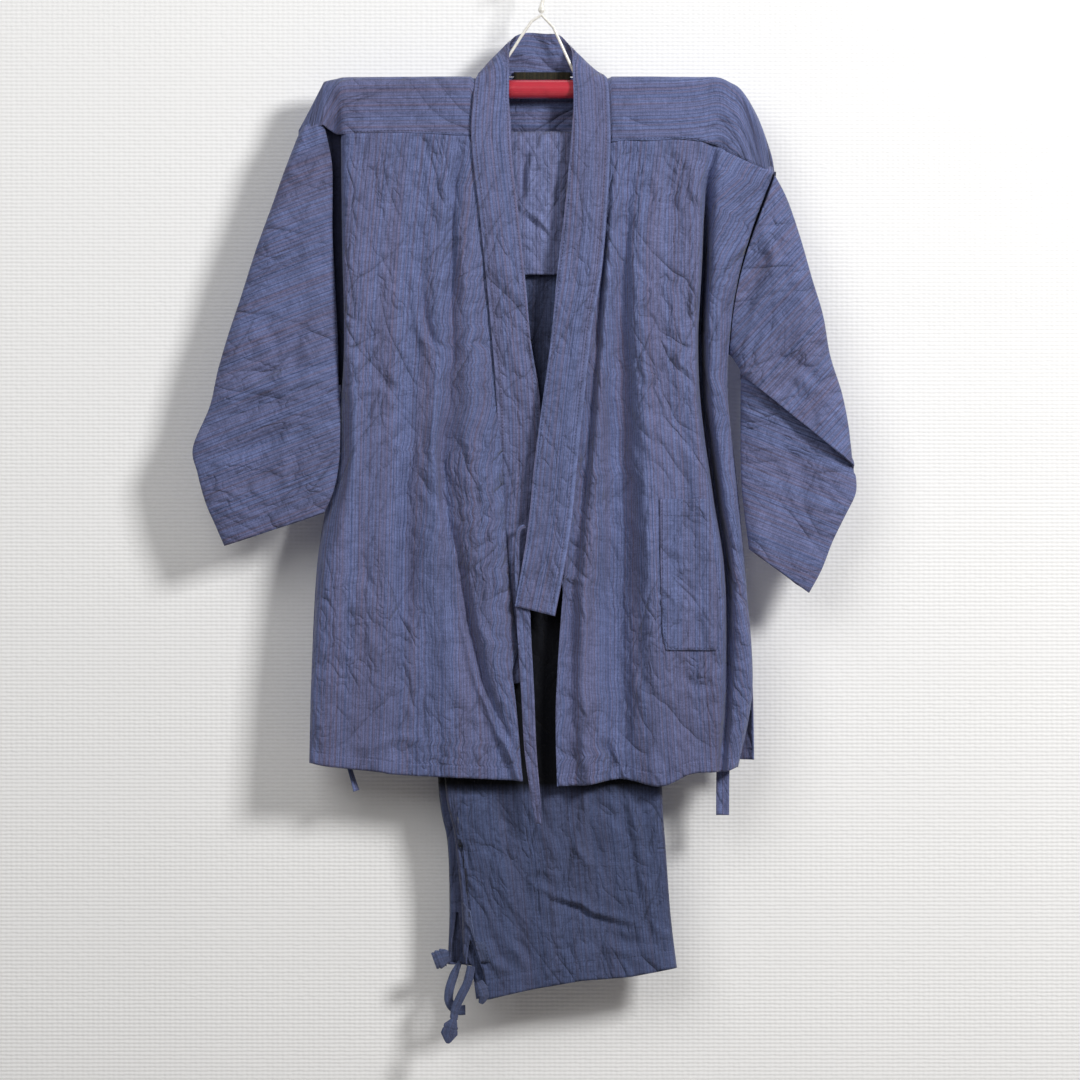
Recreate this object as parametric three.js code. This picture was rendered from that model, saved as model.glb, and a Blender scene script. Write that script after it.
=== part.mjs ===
// A samue (jacket and trousers) carried by a round rod with a wire loop and a hook.
// Sizes are in millimetres. Three directions name every point:
//   across: + towards the wearer's left, drop: down from the inside of the hook, out: towards the wearer's front.
// In the frame of the part that is x = across, y = -out, z = -drop.
import * as THREE from "three";

const CLOTH = 1.5; // wall of one layer of cloth
const BAND = 2.4; // the folded collar band
const TAPE = 1.2; // ties and cords
const LIFT = 0.45; // clear air between a piece and the panel it lies on

const ROD = { radius: 9.5, drop: 117.5, from: -201, to: 182, rim: 5 };
const BAR = { radius: 3.2, drop: 171, from: -116, to: 158, rim: 0.8 };
const WIRE = { radius: 1.5, apex: [1.5, 43], bend: [-27.5, 78], right: 37, left: -46 };
const HOOK = { radius: 10, wire: 1.5 };
const LINK = { radius: 1.3, places: { link_right: -111, link_left: 153 } };

const COLORS = { jacket: 0x5a6591, trousers: 0x3d4b70, label: 0x4a4632, red: 0xb01620, white: 0xe9e6dc };

// ---------- walls ----------

const at = (across, out, drop) => new THREE.Vector3(across, -out, -drop);
const BEHIND = at(0, -900, 450), BEFORE = at(0, 900, 450); // places that a panel's outer face looks away from

const middle = (points) => points.reduce((sum, p) => sum.add(p), new THREE.Vector3()).divideScalar(points.length);

/**
 * A closed wall on a grid of surface points. The grid is its outer face, which looks away from `from`; the other face
 * lies `thickness` behind and rims close every free edge.
 */
function wall(grid, thickness, { round = false, keep = () => true, from } = {}) {
  const rows = grid.length, cols = grid[0].length, points = grid.flat();
  const id = (i, j) => i * cols + (j % cols);
  const faces = [];
  for (let i = 0; i + 1 < rows; i++)
    for (let j = 0; j + 1 < cols + (round ? 1 : 0); j++) {
      if (!keep(i, j)) continue;
      const [a, b, c, d] = [id(i, j), id(i, j + 1), id(i + 1, j + 1), id(i + 1, j)];
      if (points[a].distanceTo(points[c]) <= points[b].distanceTo(points[d])) faces.push([a, b, c], [a, c, d]);
      else faces.push([a, b, d], [b, c, d]);
    }
  const normals = points.map(() => new THREE.Vector3());
  for (const f of faces) {
    const [a, b, c] = f.map((k) => points[k]);
    const n = b.clone().sub(a).cross(c.clone().sub(a));
    for (const k of f) normals[k].add(n);
  }
  const inside = from ?? middle(points);
  const looks = Math.sign(points.reduce((sum, p, k) => sum + normals[k].dot(p.clone().sub(inside)), 0));
  const behind = points.map((p, k) => p.clone().addScaledVector(normals[k].normalize(), -thickness * looks));
  const edges = new Map();
  for (const f of faces) for (let k = 0; k < 3; k++) edges.set(`${f[k]},${f[(k + 1) % 3]}`, [f[k], f[(k + 1) % 3]]);
  const n = points.length, all = [...faces, ...faces.map(([a, b, c]) => [a + n, c + n, b + n])];
  for (const [a, b] of edges.values()) if (!edges.has(`${b},${a}`)) all.push([b, a, a + n], [b, a + n, b + n]);
  return solid([...points, ...behind], all);
}

/** A closed body from points and triangles, turned so that its faces point out. */
function solid(points, faces) {
  let volume = 0;
  for (const [a, b, c] of faces) volume += points[a].dot(points[b].clone().cross(points[c]));
  const used = new Map(), position = [], index = [];
  for (const f of faces)
    for (const k of volume < 0 ? [f[0], f[2], f[1]] : f) {
      if (!used.has(k)) {
        used.set(k, used.size);
        position.push(points[k].x, points[k].y, points[k].z);
      }
      index.push(used.get(k));
    }
  const geometry = new THREE.BufferGeometry();
  geometry.setAttribute("position", new THREE.Float32BufferAttribute(position, 3));
  geometry.setIndex(index);
  geometry.computeVertexNormals();
  return geometry;
}

/** A closed cord along a path. `widths` and `depths` are half sizes across and towards the front. */
function cord(path, widths, depths, sides = 8) {
  const curve = new THREE.CatmullRomCurve3(path, false, "centripetal");
  const steps = (path.length - 1) * 3, points = [], faces = [];
  const spread = (values, t) => along(values, t * (values.length - 1));
  for (let i = 0; i <= steps; i++) {
    const t = i / steps, p = curve.getPoint(t), ahead = curve.getTangent(t);
    const front = new THREE.Vector3(0, -1, 0).addScaledVector(ahead, ahead.y).normalize();
    const side = new THREE.Vector3().crossVectors(ahead, front).normalize();
    for (let k = 0; k < sides; k++) {
      const a = (2 * Math.PI * k) / sides;
      points.push(p.clone().addScaledVector(side, spread(widths, t) * Math.cos(a)).addScaledVector(front, spread(depths, t) * Math.sin(a)));
    }
  }
  for (let i = 0; i < steps; i++)
    for (let k = 0; k < sides; k++) {
      const [a, b] = [i * sides + k, i * sides + ((k + 1) % sides)];
      faces.push([a, b, b + sides], [a, b + sides, a + sides]);
    }
  for (const [ring, turn] of [[0, true], [steps * sides, false]])
    for (let k = 1; k + 1 < sides; k++) faces.push(turn ? [ring, ring + k + 1, ring + k] : [ring, ring + k, ring + k + 1]);
  return solid(points, faces);
}

// ---------- reading the tables ----------

/** The value of a list at a fractional place, through a smooth curve. */
function along(values, place) {
  const last = values.length - 1, i = Math.min(Math.floor(place), last - 1), t = place - i;
  const [b, c] = [values[i], values[i + 1]], [a, d] = [values[Math.max(i - 1, 0)], values[Math.min(i + 2, last)]];
  const [m, n] = [(c - a) / 2, (d - b) / 2];
  return b + t * (m + t * (3 * (c - b) - 2 * m - n + t * (2 * (b - c) + m + n)));
}

/** Straight reading of ys at x, for xs in rising order. */
function straight(xs, ys, x) {
  const i = Math.max(0, Math.min(xs.length - 2, xs.findIndex((v) => v > x) - 1));
  const k = x >= xs.at(-1) ? xs.length - 2 : i;
  return ys[k] + ((ys[k + 1] - ys[k]) * (x - xs[k])) / (xs[k + 1] - xs[k]);
}

/** Rows of drops between the levels, `per` steps a level. */
const steps = (count, per) => Array.from({ length: (count - 1) * per + 1 }, (_, i) => i / per);

/**
 * The grid of a hanging panel. A fold table has a row a fold: its name, the drop of its top and of its hem, then its
 * place across and out at each level. Each row of the grid is a cut across all folds, smooth between them.
 */
function panelGrid(table, drops, perLevel, perFold) {
  const top = drops[0], range = drops.at(-1) - top;
  return steps(drops.length, perLevel).map((place) => {
    const part = (along(drops, place) - top) / range;
    const cut = table.map((f) => ({
      across: along(f.across, place),
      out: along(f.out, place),
      drop: f.top + part * (f.hem - f.top),
    }));
    return steps(cut.length, perFold).map((k) =>
      at(along(cut.map((c) => c.across), k), along(cut.map((c) => c.out), k), along(cut.map((c) => c.drop), k)));
  });
}

/** How far out a panel's surface is at a place on it. */
function outAt(grid, across, drop) {
  const row = (cut) => {
    const xs = cut.map((p) => p.x), order = xs.map((_, k) => k).sort((a, b) => xs[a] - xs[b]);
    return straight(order.map((k) => xs[k]), order.map((k) => -cut[k].y), across);
  };
  const mid = Math.floor(grid[0].length / 2), drops = grid.map((cut) => -cut[mid].z);
  return straight(drops, grid.map(row), drop);
}

// ---------- the jacket's body ----------

const BODY_LEVELS = [164, 270, 385, 500, 600, 720, 806];

// Each row is one fold or edge of the panel, from the collar to the side seam.
const FRONT_RIGHT_FOLDS = [
  { name: "collar seam", top: 166, hem: 811, across: [-65, -57, -48.5, -46, -40, -25, -17], out: [16, 19, 20, 22.5, 26, 26, 25] },
  { name: "turned edge", top: 166.5, hem: 811, across: [-69, -62, -53, -50, -44, -28, -19], out: [16.5, 20.5, 22, 27, 30, 30, 28] },
  { name: "band beside", top: 166, hem: 810.5, across: [-74, -74, -70, -72, -66, -45, -22], out: [17, 23, 25, 28, 30, 30, 28.5] },
  { name: "long valley", top: 165.6, hem: 810, across: [-79, -90, -88, -94, -84, -60, -29], out: [16.5, 18, 18, 18, 19, 20, 24] },
  { name: "long ridge", top: 165.4, hem: 809, across: [-88, -100, -100, -107, -100, -82, -50], out: [17.5, 23, 25, 27, 28, 28, 27] },
  { name: "soft valley", top: 163.7, hem: 805, across: [-110, -120, -128, -134, -136, -137, -140], out: [17, 20, 20, 19, 19, 21, 22] },
  { name: "soft ridge", top: 163, hem: 802, across: [-130, -140, -148, -152, -154, -157, -160], out: [18, 24, 26, 28, 28, 28, 27] },
  { name: "chest", top: 162.7, hem: 799, across: [-155, -165, -172, -175, -180, -187, -190], out: [17.5, 22, 24, 25, 25, 25, 24] },
  { name: "arm ridge", top: 163.3, hem: 796, across: [-180, -185, -187, -188, -203, -212, -215], out: [17.5, 25, 27, 26, 28, 29, 28] },
  { name: "fold edge", top: 163.8, hem: 793, across: [-194, -196, -195, -197, -216, -226, -229], out: [15, 20, 22, 12, 20, 23, 24] },
  { name: "fold wall", top: 166, hem: 793, across: [-199, -198, -196.5, -205, -221.5, -228.5, -231], out: [7, 8, 10, 4, 8, 10, 12] },
  { name: "side seam", top: 170, hem: 793, across: [-200, -199, -197, -208, -223, -229, -231], out: [-3, -4, -4, -5, -4, -3, -2] },
];
const FRONT_LEFT_FOLDS = [
  { name: "collar seam", top: 173, hem: 816, across: [65, 59, 50, 35, 24, 16, 17], out: [16, 21, 24, 27, 29, 29, 28] },
  { name: "first valley", top: 172.5, hem: 815.5, across: [72, 64, 56, 45, 34, 31, 35], out: [16, 20, 20, 20, 21, 21, 22] },
  { name: "first ridge", top: 170.5, hem: 814.5, across: [82, 71, 63, 56, 48, 46, 50], out: [18, 27, 29, 31, 32, 32, 30] },
  { name: "dark valley", top: 170, hem: 809, across: [92, 85, 82, 82, 78, 78, 82], out: [16, 17, 14, 13, 13, 15, 18] },
  { name: "great ridge", top: 171, hem: 816, across: [110, 97, 100, 106, 109, 113, 120], out: [18, 28, 32, 35, 36, 35, 32] },
  { name: "pocket plain", top: 169.5, hem: 804, across: [135, 130, 132, 139, 143, 147, 150], out: [18, 26, 29, 32, 33, 32, 30] },
  { name: "fold lip", top: 172, hem: 802, across: [160, 159, 155, 165, 178, 178, 173], out: [18, 28, 31, 33, 34, 33, 30] },
  { name: "deep fold", top: 175, hem: 801.5, across: [172, 165, 161.5, 174, 188, 187, 181], out: [13, 8, 6, 6, 8, 16, 21] },
  { name: "side lip", top: 180, hem: 801, across: [183, 174, 170, 184, 195, 194, 187], out: [15, 18, 18, 20, 23, 26, 28] },
  { name: "side strip", top: 190, hem: 798.5, across: [205, 186, 178.5, 190, 200, 205, 193], out: [15, 19, 20, 22, 26, 28, 28] },
  { name: "side edge", top: 201, hem: 796.6, across: [231, 199.5, 187, 196, 205, 212, 197.5], out: [10, 13, 14, 16, 19, 20, 22] },
  { name: "side seam", top: 203, hem: 796.6, across: [233, 200.5, 188, 197, 206, 213, 198.5], out: [1, 0, 0, 1, 2, 6, 10] },
];
const BACK_FOLDS = [
  { name: "right side seam", top: 172, hem: 793, across: [-203, -201, -199, -209, -224, -230, -232], out: [-8, -9, -9, -10, -9, -8, -7] },
  { name: "right side", top: 172, hem: 792, across: [-190, -190, -190, -196, -208, -214, -216], out: [-14, -17, -19, -19, -18, -17, -16] },
  { name: "right ridge", top: 172, hem: 791, across: [-140, -142, -145, -148, -150, -154, -158], out: [-17, -25, -28, -28, -27, -26, -25] },
  { name: "right valley", top: 172, hem: 790, across: [-96, -96, -98, -102, -104, -106, -108], out: [-15, -18, -19, -20, -20, -20, -20] },
  { name: "mid ridge", top: 172, hem: 790, across: [-30, -30, -32, -34, -34, -32, -30], out: [-17, -26, -29, -30, -29, -28, -27] },
  { name: "mid valley", top: 172, hem: 790, across: [34, 34, 36, 38, 40, 42, 44], out: [-16, -20, -21, -22, -22, -22, -22] },
  { name: "left ridge", top: 173, hem: 790, across: [96, 94, 94, 98, 104, 110, 112], out: [-17, -26, -29, -30, -29, -28, -27] },
  { name: "left valley", top: 176, hem: 790, across: [150, 142, 138, 144, 152, 160, 164], out: [-15, -17, -18, -18, -18, -18, -18] },
  { name: "left side", top: 190, hem: 790.4, across: [205, 181, 174, 184, 192, 200, 204], out: [-11, -14, -15, -15, -14, -12, -8] },
  { name: "left side seam", top: 203, hem: 790.6, across: [232.5, 200.7, 188.4, 198, 206.5, 213.5, 215], out: [-5, -5, -5, -5, -4, -2, 0] },
];

const frontRight = panelGrid(FRONT_RIGHT_FOLDS, BODY_LEVELS, 4, 2);
const frontLeft = panelGrid(FRONT_LEFT_FOLDS, BODY_LEVELS, 4, 2);
const back = panelGrid(BACK_FOLDS, BODY_LEVELS, 3, 2);

// ---------- the yoke ----------

// A row a column of the yoke: its crest over the rod, then its front seam and its back seam.
const YOKE_COLUMNS = [
  { across: -241, crest: 159, front: 164.5, out: 3, back: 162 },
  { across: -230, crest: 137.5, front: 158, out: 9, back: 157 },
  { across: -219, crest: 113, front: 152.5, out: 14, back: 152 },
  { across: -213, crest: 109.5, front: 158, out: 7, back: 158 },
  { across: -204, crest: 107.5, front: 163, out: 5, back: 168 },
  { across: -197, crest: 105.4, front: 163.4, out: 14, back: 171 },
  { across: -180, crest: 105.2, front: 162.9, out: 17.5, back: 171.6 },
  { across: -155, crest: 105, front: 162.3, out: 17.5, back: 171.6 },
  { across: -130, crest: 104.8, front: 162.6, out: 18, back: 171.6 },
  { across: -110, crest: 104.6, front: 163.1, out: 17, back: 171.6 },
  { across: -88, crest: 104.5, front: 164.6, out: 17.5, back: 171.6 },
  { across: -69, crest: 104.5, front: 165.6, out: 16.5, back: 171.6 },
  { across: -45, crest: 104, neck: true, back: 171.6 },
  { across: -15, crest: 104, neck: true, back: 171.6 },
  { across: 15, crest: 104, neck: true, back: 171.6 },
  { across: 45, crest: 104, neck: true, back: 171.6 },
  { across: 72, crest: 104.6, front: 172.1, out: 16, back: 171.6 },
  { across: 82, crest: 104.6, front: 170.1, out: 18, back: 171.6 },
  { across: 92, crest: 104.6, front: 169.6, out: 16.5, back: 171.7 },
  { across: 110, crest: 104.6, front: 170.6, out: 18, back: 172.4 },
  { across: 135, crest: 104.9, front: 168.9, out: 18, back: 173.6 },
  { across: 160, crest: 105.1, front: 171, out: 17.5, back: 176.2 },
  { across: 178, crest: 105.4, front: 175.7, out: 13.5, back: 180 },
  { across: 190, crest: 110, front: 182.6, out: 15.3, back: 183.6 },
  { across: 203, crest: 119, front: 188.4, out: 15, back: 188.2 },
  { across: 219, crest: 146, front: 195.8, out: 12.5, back: 195.2 },
  { across: 232, crest: 182, front: 201.2, out: 7, back: 201 },
];
const YOKE_BACK_OUT = -16;
const OVER_ROD = 12.4; // how far the yoke stands from the middle of the rod
const OVER_ROD_STEPS = [[-1, 1], [-0.72, 0.3], [0, 0], [0.72, 0.3], [1, 1]]; // out and drop, as parts of OVER_ROD
const YOKE_NECK_ROW = 2; // in the neck the yoke ends at this row, behind the rod

function yokeColumn({ across, crest, front, out, back: seam, neck }) {
  const reach = Math.min(OVER_ROD, ((neck ? 150 : front) - crest) * 0.36, (seam - crest) * 0.36);
  const behind = Math.max(YOKE_BACK_OUT, -reach - 5);
  const over = OVER_ROD_STEPS.map(([o, d]) => at(across, o * reach, crest + d * reach));
  if (neck) over[0] = at(across, YOKE_BACK_OUT + 1, crest + 3);
  const low = neck ? at(across, YOKE_BACK_OUT, 140) : at(across, (behind - reach) / 2, (seam + crest + reach) / 2);
  const edge = neck ? over.at(-1) : at(across, out, front);
  return [at(across, behind, seam), low, ...over, at(across, (reach + (neck ? reach : out)) / 2, (crest + reach + (neck ? crest + reach + 9 : front)) / 2), edge];
}
const isNeck = (j) => YOKE_COLUMNS[j].neck || YOKE_COLUMNS[j + 1].neck;
const yokeGrid = YOKE_COLUMNS.map(yokeColumn)[0].map((_, i) => YOKE_COLUMNS.map((c) => yokeColumn(c)[i]));

// ---------- the sleeves ----------

// A row a ring: the outer and the inner end of its front line, how far out its front and back are, and how far the
// front is tucked up under itself; bow bends it towards the body.
const SLEEVE_RIGHT_RINGS = [
  { outer: [-245, 166], inner: [-216.5, 154], front: 12, back: -8 },
  { outer: [-257, 201], inner: [-209, 190], front: 15, back: -9 },
  { outer: [-268, 232], inner: [-208, 222], front: 17, back: -9 },
  { outer: [-285, 279], inner: [-208, 262], front: 18, back: -8 },
  { outer: [-301, 329], inner: [-206, 303], front: 17, back: -8 },
  { outer: [-312, 362], inner: [-204, 340], front: 19, back: -6 },
  { outer: [-323, 400], inner: [-202.5, 372], front: 19, back: -4 },
  { outer: [-331, 436], inner: [-202, 405], front: 20, back: -1 },
  { outer: [-347.6, 477], inner: [-200, 437], front: 21, back: 4 },
  { outer: [-343, 503], inner: [-200, 463], front: 22, back: 7 },
  { outer: [-335, 532], inner: [-201, 491], front: 23, back: 9 },
  { outer: [-326, 553], inner: [-206, 519], front: 23, back: 10 },
  { outer: [-316, 576], inner: [-216, 543], front: 22, back: 8 },
];
const SLEEVE_LEFT_RINGS = [
  { outer: [235.8, 204.3], inner: [189.8, 384], front: 14, back: -6, bow: 9.4 },
  { outer: [248, 228], inner: [192, 386], front: 17, back: -8, bow: 9 },
  { outer: [261, 266], inner: [193.5, 388], front: 20, back: -9, bow: 7.5 },
  { outer: [273, 308], inner: [195, 390.5], front: 22, back: -9, bow: 5 },
  { outer: [284, 345], inner: [196.5, 393], front: 23, back: -9, bow: 2 },
  { outer: [291, 385], inner: [198, 395.5], front: 25, back: -9 },
  { outer: [303, 424], inner: [199.5, 398], front: 27, back: -8 },
  { outer: [310, 461], inner: [200.5, 401], front: 28, back: -8 },
  { outer: [313.8, 496], inner: [201.2, 404], front: 28, back: -8 },
  { outer: [314.2, 498], inner: [201.5, 408], front: 17, back: -8, tuck: 15 },
  { outer: [315, 502], inner: [201, 428], front: 15.5, back: -7 },
  { outer: [317, 507], inner: [201, 455], front: 16, back: -6 },
  { outer: [316.4, 524], inner: [201, 485], front: 17, back: -3 },
  { outer: [305, 547.5], inner: [202, 518], front: 19, back: 0 },
  { outer: [293.4, 571], inner: [205, 546], front: 20, back: 3 },
  { outer: [282, 600], inner: [207.5, 566], front: 21, back: 5 },
  { outer: [269.5, 623], inner: [209, 579], front: 20, back: 5 },
];
const BOW_SKEW = 1.12; // the bow is deepest a little nearer the underarm
const SLEEVE_FRONT = 9, SLEEVE_BACK = 6; // points of a ring on its front and on its back
const SLEEVE_CREASE = { height: 1.6, waves: 3 }; // shallow creases along the sleeve

function sleeveRing({ outer, inner, front, back: rear, tuck = 0, bow = 0 }) {
  const [mid, half] = [(front + rear) / 2, (front - rear) / 2];
  const point = (t, face) => {
    const swell = Math.pow(1 - Math.pow(Math.abs(2 * t - 1), 2.6), 0.5);
    const crease = face * SLEEVE_CREASE.height * Math.sin(Math.PI * SLEEVE_CREASE.waves * t) * swell;
    const up = face > 0 ? tuck * Math.pow(swell, 0.5) : 0;
    const aside = bow * Math.sin(Math.PI * Math.pow(t, BOW_SKEW));
    return at(THREE.MathUtils.lerp(outer[0], inner[0], t) - aside, mid + face * half * swell + crease, THREE.MathUtils.lerp(outer[1], inner[1], t) - up);
  };
  const ring = [];
  for (let k = 0; k <= SLEEVE_FRONT; k++) ring.push(point((1 - Math.cos((Math.PI * k) / SLEEVE_FRONT)) / 2, 1));
  for (let k = 1; k < SLEEVE_BACK; k++) ring.push(point((1 + Math.cos((Math.PI * k) / SLEEVE_BACK)) / 2, -1));
  return ring;
}

// ---------- the collar ----------

// A row a cut across the band: its seam edge and its free edge, each across, drop and out.
const COLLAR_CUTS = [
  { seam: [-40, 716, 18.5], free: [-4, 712, 20] },
  { seam: [-46, 640, 18], free: [-5, 636, 20] },
  { seam: [-46, 560, 17.5], free: [-4, 556, 20.5] },
  { seam: [-42, 490, 18.5], free: [-1, 486, 22] },
  { seam: [-43.5, 430, 22.5], free: [0, 430, 23] },
  { seam: [-48, 370, 24.4], free: [-9, 372, 25.5] },
  { seam: [-53, 317, 24.6], free: [-14, 317, 27] },
  { seam: [-61, 240, 23.7], free: [-22, 240, 27] },
  { seam: [-67, 190, 22.5], free: [-28, 186, 24.5] },
  { seam: [-69, 160, 20.5], free: [-29, 156, 21] },
  { seam: [-67, 128, 17], free: [-31, 128, 17] },
  { seam: [-66, 117.5, 13.4], free: [-31, 116, 15] },
  { seam: [-65, 108, 9.6], free: [-31, 99, 12] },
  { seam: [-64, 103.8, 1], free: [-31.5, 82, 6] },
  { seam: [-63, 101.5, -6], free: [-31, 70, -4] },
  { seam: [-57, 102, -12], free: [-29, 66, -9] },
  { seam: [-44, 102, -16], free: [-24, 62, -13] },
  { seam: [-20, 103, -19], free: [-13, 59, -17] },
  { seam: [6, 103, -20], free: [5, 60, -18] },
  { seam: [30, 103, -19], free: [19, 61, -17] },
  { seam: [48, 103, -16], free: [28, 69, -13] },
  { seam: [59, 102.5, -12], free: [32, 75, -6] },
  { seam: [64, 103, -7], free: [33, 84, 1] },
  { seam: [66.5, 103.8, 1], free: [33, 96, 8] },
  { seam: [68, 108, 9.6], free: [33, 106, 13] },
  { seam: [69.5, 117.5, 13.4], free: [33.5, 117, 16] },
  { seam: [70, 132, 17], free: [33.5, 134, 19] },
  { seam: [71, 170, 21], free: [31.5, 165, 24] },
  { seam: [68, 230, 27.5], free: [25, 236, 30] },
  { seam: [62, 300, 30.5], free: [17, 305, 33] },
  { seam: [53, 355, 32], free: [12, 360, 34.5] },
  { seam: [46, 415, 33], free: [5, 414, 35] },
  { seam: [38, 490, 34.5], free: [-5, 488, 35] },
  { seam: [32.5, 547, 35], free: [-11, 548, 35] },
  { seam: [26, 590, 35], free: [-17, 590, 35] },
  { seam: [15, 646, 34.5], free: [-25, 636, 34] },
];
const COLLAR_ACROSS = 3; // points across the band

const collarGrid = COLLAR_CUTS.map(({ seam, free }) =>
  Array.from({ length: COLLAR_ACROSS }, (_, k) => {
    const t = k / (COLLAR_ACROSS - 1);
    return at(...[0, 2, 1].map((c) => THREE.MathUtils.lerp(seam[c], free[c], t)));
  }));

// ---------- the pocket, the label and the ties ----------

const POCKET = { drops: [529, 548, 575, 605, 635, 662, 680], left: [119.4, 119.7, 120, 120.5, 121, 122, 126], right: [168, 170, 173, 176, 178, 178, 176], columns: 9 };
const pocketGrid = POCKET.drops.map((drop, i) =>
  Array.from({ length: POCKET.columns }, (_, k) => {
    const across = THREE.MathUtils.lerp(POCKET.left[i], POCKET.right[i], k / (POCKET.columns - 1));
    return at(across, Math.max(...[-2, 0, 2].map((d) => outAt(frontLeft, across + d, drop))) + CLOTH + LIFT + 0.2, drop);
  }));

/** A flat strip: a row a cut, with its middle across, its drop, its out and its half width. */
const strip = (cuts) => cuts.map(({ across, drop, out, half, lean = 0 }) =>
  [-1, 0, 1].map((s) => at(across + s * half, out, drop + s * lean)));

const TIE_CENTER_CUTS = [
  { across: -14, drop: 556, out: 31.1, half: 7 },
  { across: -20, drop: 572, out: 31, half: 7 },
  { across: -18, drop: 640, out: 30.8, half: 7 },
  { across: -16, drop: 660, out: 31, half: 7 },
  { across: -12.5, drop: 720, out: 31, half: 6.6 },
  { across: -9.5, drop: 780, out: 31, half: 6.2 },
  { across: -4, drop: 830, out: 31, half: 5 },
  { across: -1.5, drop: 853, out: 31, half: 3.4 },
];
const TIE_HEM_RIGHT_CUTS = [
  { across: -222.3, drop: 690, out: 4, half: 4 },
  { across: -211, drop: 735, out: 4, half: 3.5 },
  { across: -191.5, drop: 797, out: 6, half: 3 },
  { across: -184, drop: 821.5, out: 7, half: 4 },
];
const TIE_HEM_LEFT_CUTS = [
  { across: 204.2, drop: 690, out: 4, half: 7 },
  { across: 194, drop: 735, out: 4, half: 7 },
  { across: 185.5, drop: 775, out: 5, half: 7 },
  { across: 183.5, drop: 800, out: 6, half: 6.6 },
  { across: 183, drop: 845.7, out: 8, half: 6.6 },
];
const LABEL_CUTS = [
  { across: 2, drop: 99, out: -13.4, half: 28 },
  { across: 2, drop: 103.5, out: -12.6, half: 28.5 },
  { across: 2, drop: 108, out: -12, half: 28.5 },
];

// ---------- the trousers ----------

const LEG_LEVELS = [204.5, 330, 530, 809, 887, 956, 1010];
// A row a fold of the leg's front layer, from its free edge to the fold at its other side.
const LEG_NEAR_FOLDS = [
  { name: "edge", top: 204.5, hem: 985, across: [-90, -92, -96, -94, -83, -78.5, -77] },
  { name: "slit one", top: 204.5, hem: 1004, across: [-84, -85, -88, -84, -74, -68.5, -69.5] },
  { name: "slit two", top: 204.5, hem: 1032, across: [-82.5, -83.5, -86.5, -82.5, -72.5, -67, -56.5] },
  { name: "first crease", top: 204.5, hem: 1020, across: [-40, -42, -45, -40, -32, -20, -6] },
  { name: "broad front", top: 204.5, hem: 1012, across: [10, 8, 8, 8, 12, 25, 42] },
  { name: "second crease", top: 204.5, hem: 1008, across: [60, 58, 56, 55, 58, 70, 90] },
  { name: "last ridge", top: 204.5, hem: 1004, across: [100, 96, 90, 95, 100, 105, 112] },
  { name: "fold", top: 204.5, hem: 999, across: [135, 128, 120, 122, 126, 131, 137.4] },
];
const LEG_FAR_FOLDS = [
  { name: "edge", top: 204.5, hem: 996, across: [-98, -101, -106, -103, -93, -91, -93] },
  { name: "first crease", top: 204.5, hem: 1000, across: [-60, -62, -64, -60, -52, -44, -38] },
  { name: "broad front", top: 204.5, hem: 998, across: [0, -2, -4, -2, 4, 14, 26] },
  { name: "second crease", top: 204.5, hem: 994, across: [70, 66, 62, 62, 66, 78, 92] },
  { name: "fold", top: 204.5, hem: 988, across: [133, 126, 117, 118, 121, 126, 131] },
];
const LEG_NEAR = { out: [-3, 4.6, 9, 10.5, 10.5, 10.5, 10.5], deep: [5.5, 8.5, 10, 10, 10, 10, 10], crease: 0.09, slit: 1 };
const LEG_FAR = { out: [-9.4, -4.9, -2, -0.6, -0.6, -0.6, -0.6], deep: [4.8, 7.5, 9.5, 10, 10, 10, 10], crease: 0.09 };
const LEG_PER_LEVEL = 3;

function legGrid(folds, { out, deep: depths, crease }) {
  const top = LEG_LEVELS[0], range = LEG_LEVELS.at(-1) - top;
  return steps(LEG_LEVELS.length, LEG_PER_LEVEL).map((place) => {
    const part = (along(LEG_LEVELS, place) - top) / range, front = along(out, place), deep = along(depths, place);
    const line = folds.map((f, k) => ({
      across: along(f.across, place),
      drop: f.top + part * (f.hem - f.top),
      out: front - (k === 0 || k === folds.length - 1 ? deep * 0.45 : crease * deep * (1 + Math.sin(k * 2.4 + part * 5))),
    }));
    const rear = line.slice(1, -1).reverse().filter((_, k) => k % 2 === 0);
    return [...line.map((p) => at(p.across, p.out, p.drop)), ...rear.map((p) => at(p.across, front - deep, p.drop))];
  });
}
const SLIT_ROW = 15; // the near leg's slit starts at this row of its grid

// The waist part turns over the bar: a row a cut, with its middle line out and drop and its slope.
const WAIST_TURN = 7.8, WAIST_HALF = 4;
const WAIST_ACROSS = [-94, -60, -28, -14, 0, 14, 28, 60, 100, 138];
const WAIST_PATH = [
  { out: -WAIST_TURN, drop: 204, lean: Math.PI },
  { out: -WAIST_TURN, drop: 188, lean: Math.PI },
  ...[1, 0.75, 0.5, 0.25, 0].map((t) => ({
    out: WAIST_TURN * Math.cos(Math.PI * t), drop: BAR.drop - WAIST_TURN * Math.sin(Math.PI * t), lean: Math.PI * t,
  })),
  { out: 8.6, drop: 195, lean: 0 },
  { out: 9, drop: 225, lean: 0 },
  { out: 9, drop: 265, lean: 0 },
  { out: 9, drop: 304, lean: 0 },
];

const waistGrid = WAIST_PATH.map(({ out, drop, lean }, row) => {
  const face = (side) => (x, k) => {
    const swell = k === 0 || k === WAIST_ACROSS.length - 1 ? 0.3 : 1;
    const wave = side > 0 && row > 6 ? 0.5 * Math.sin(k * 2.1 + row * 0.8) : 0;
    const far = side * WAIST_HALF * swell + wave * swell;
    return at(x, out + far * Math.cos(lean), drop - far * Math.sin(lean));
  };
  return [...WAIST_ACROSS.map(face(1)), ...WAIST_ACROSS.map(face(-1)).reverse()];
});

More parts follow.
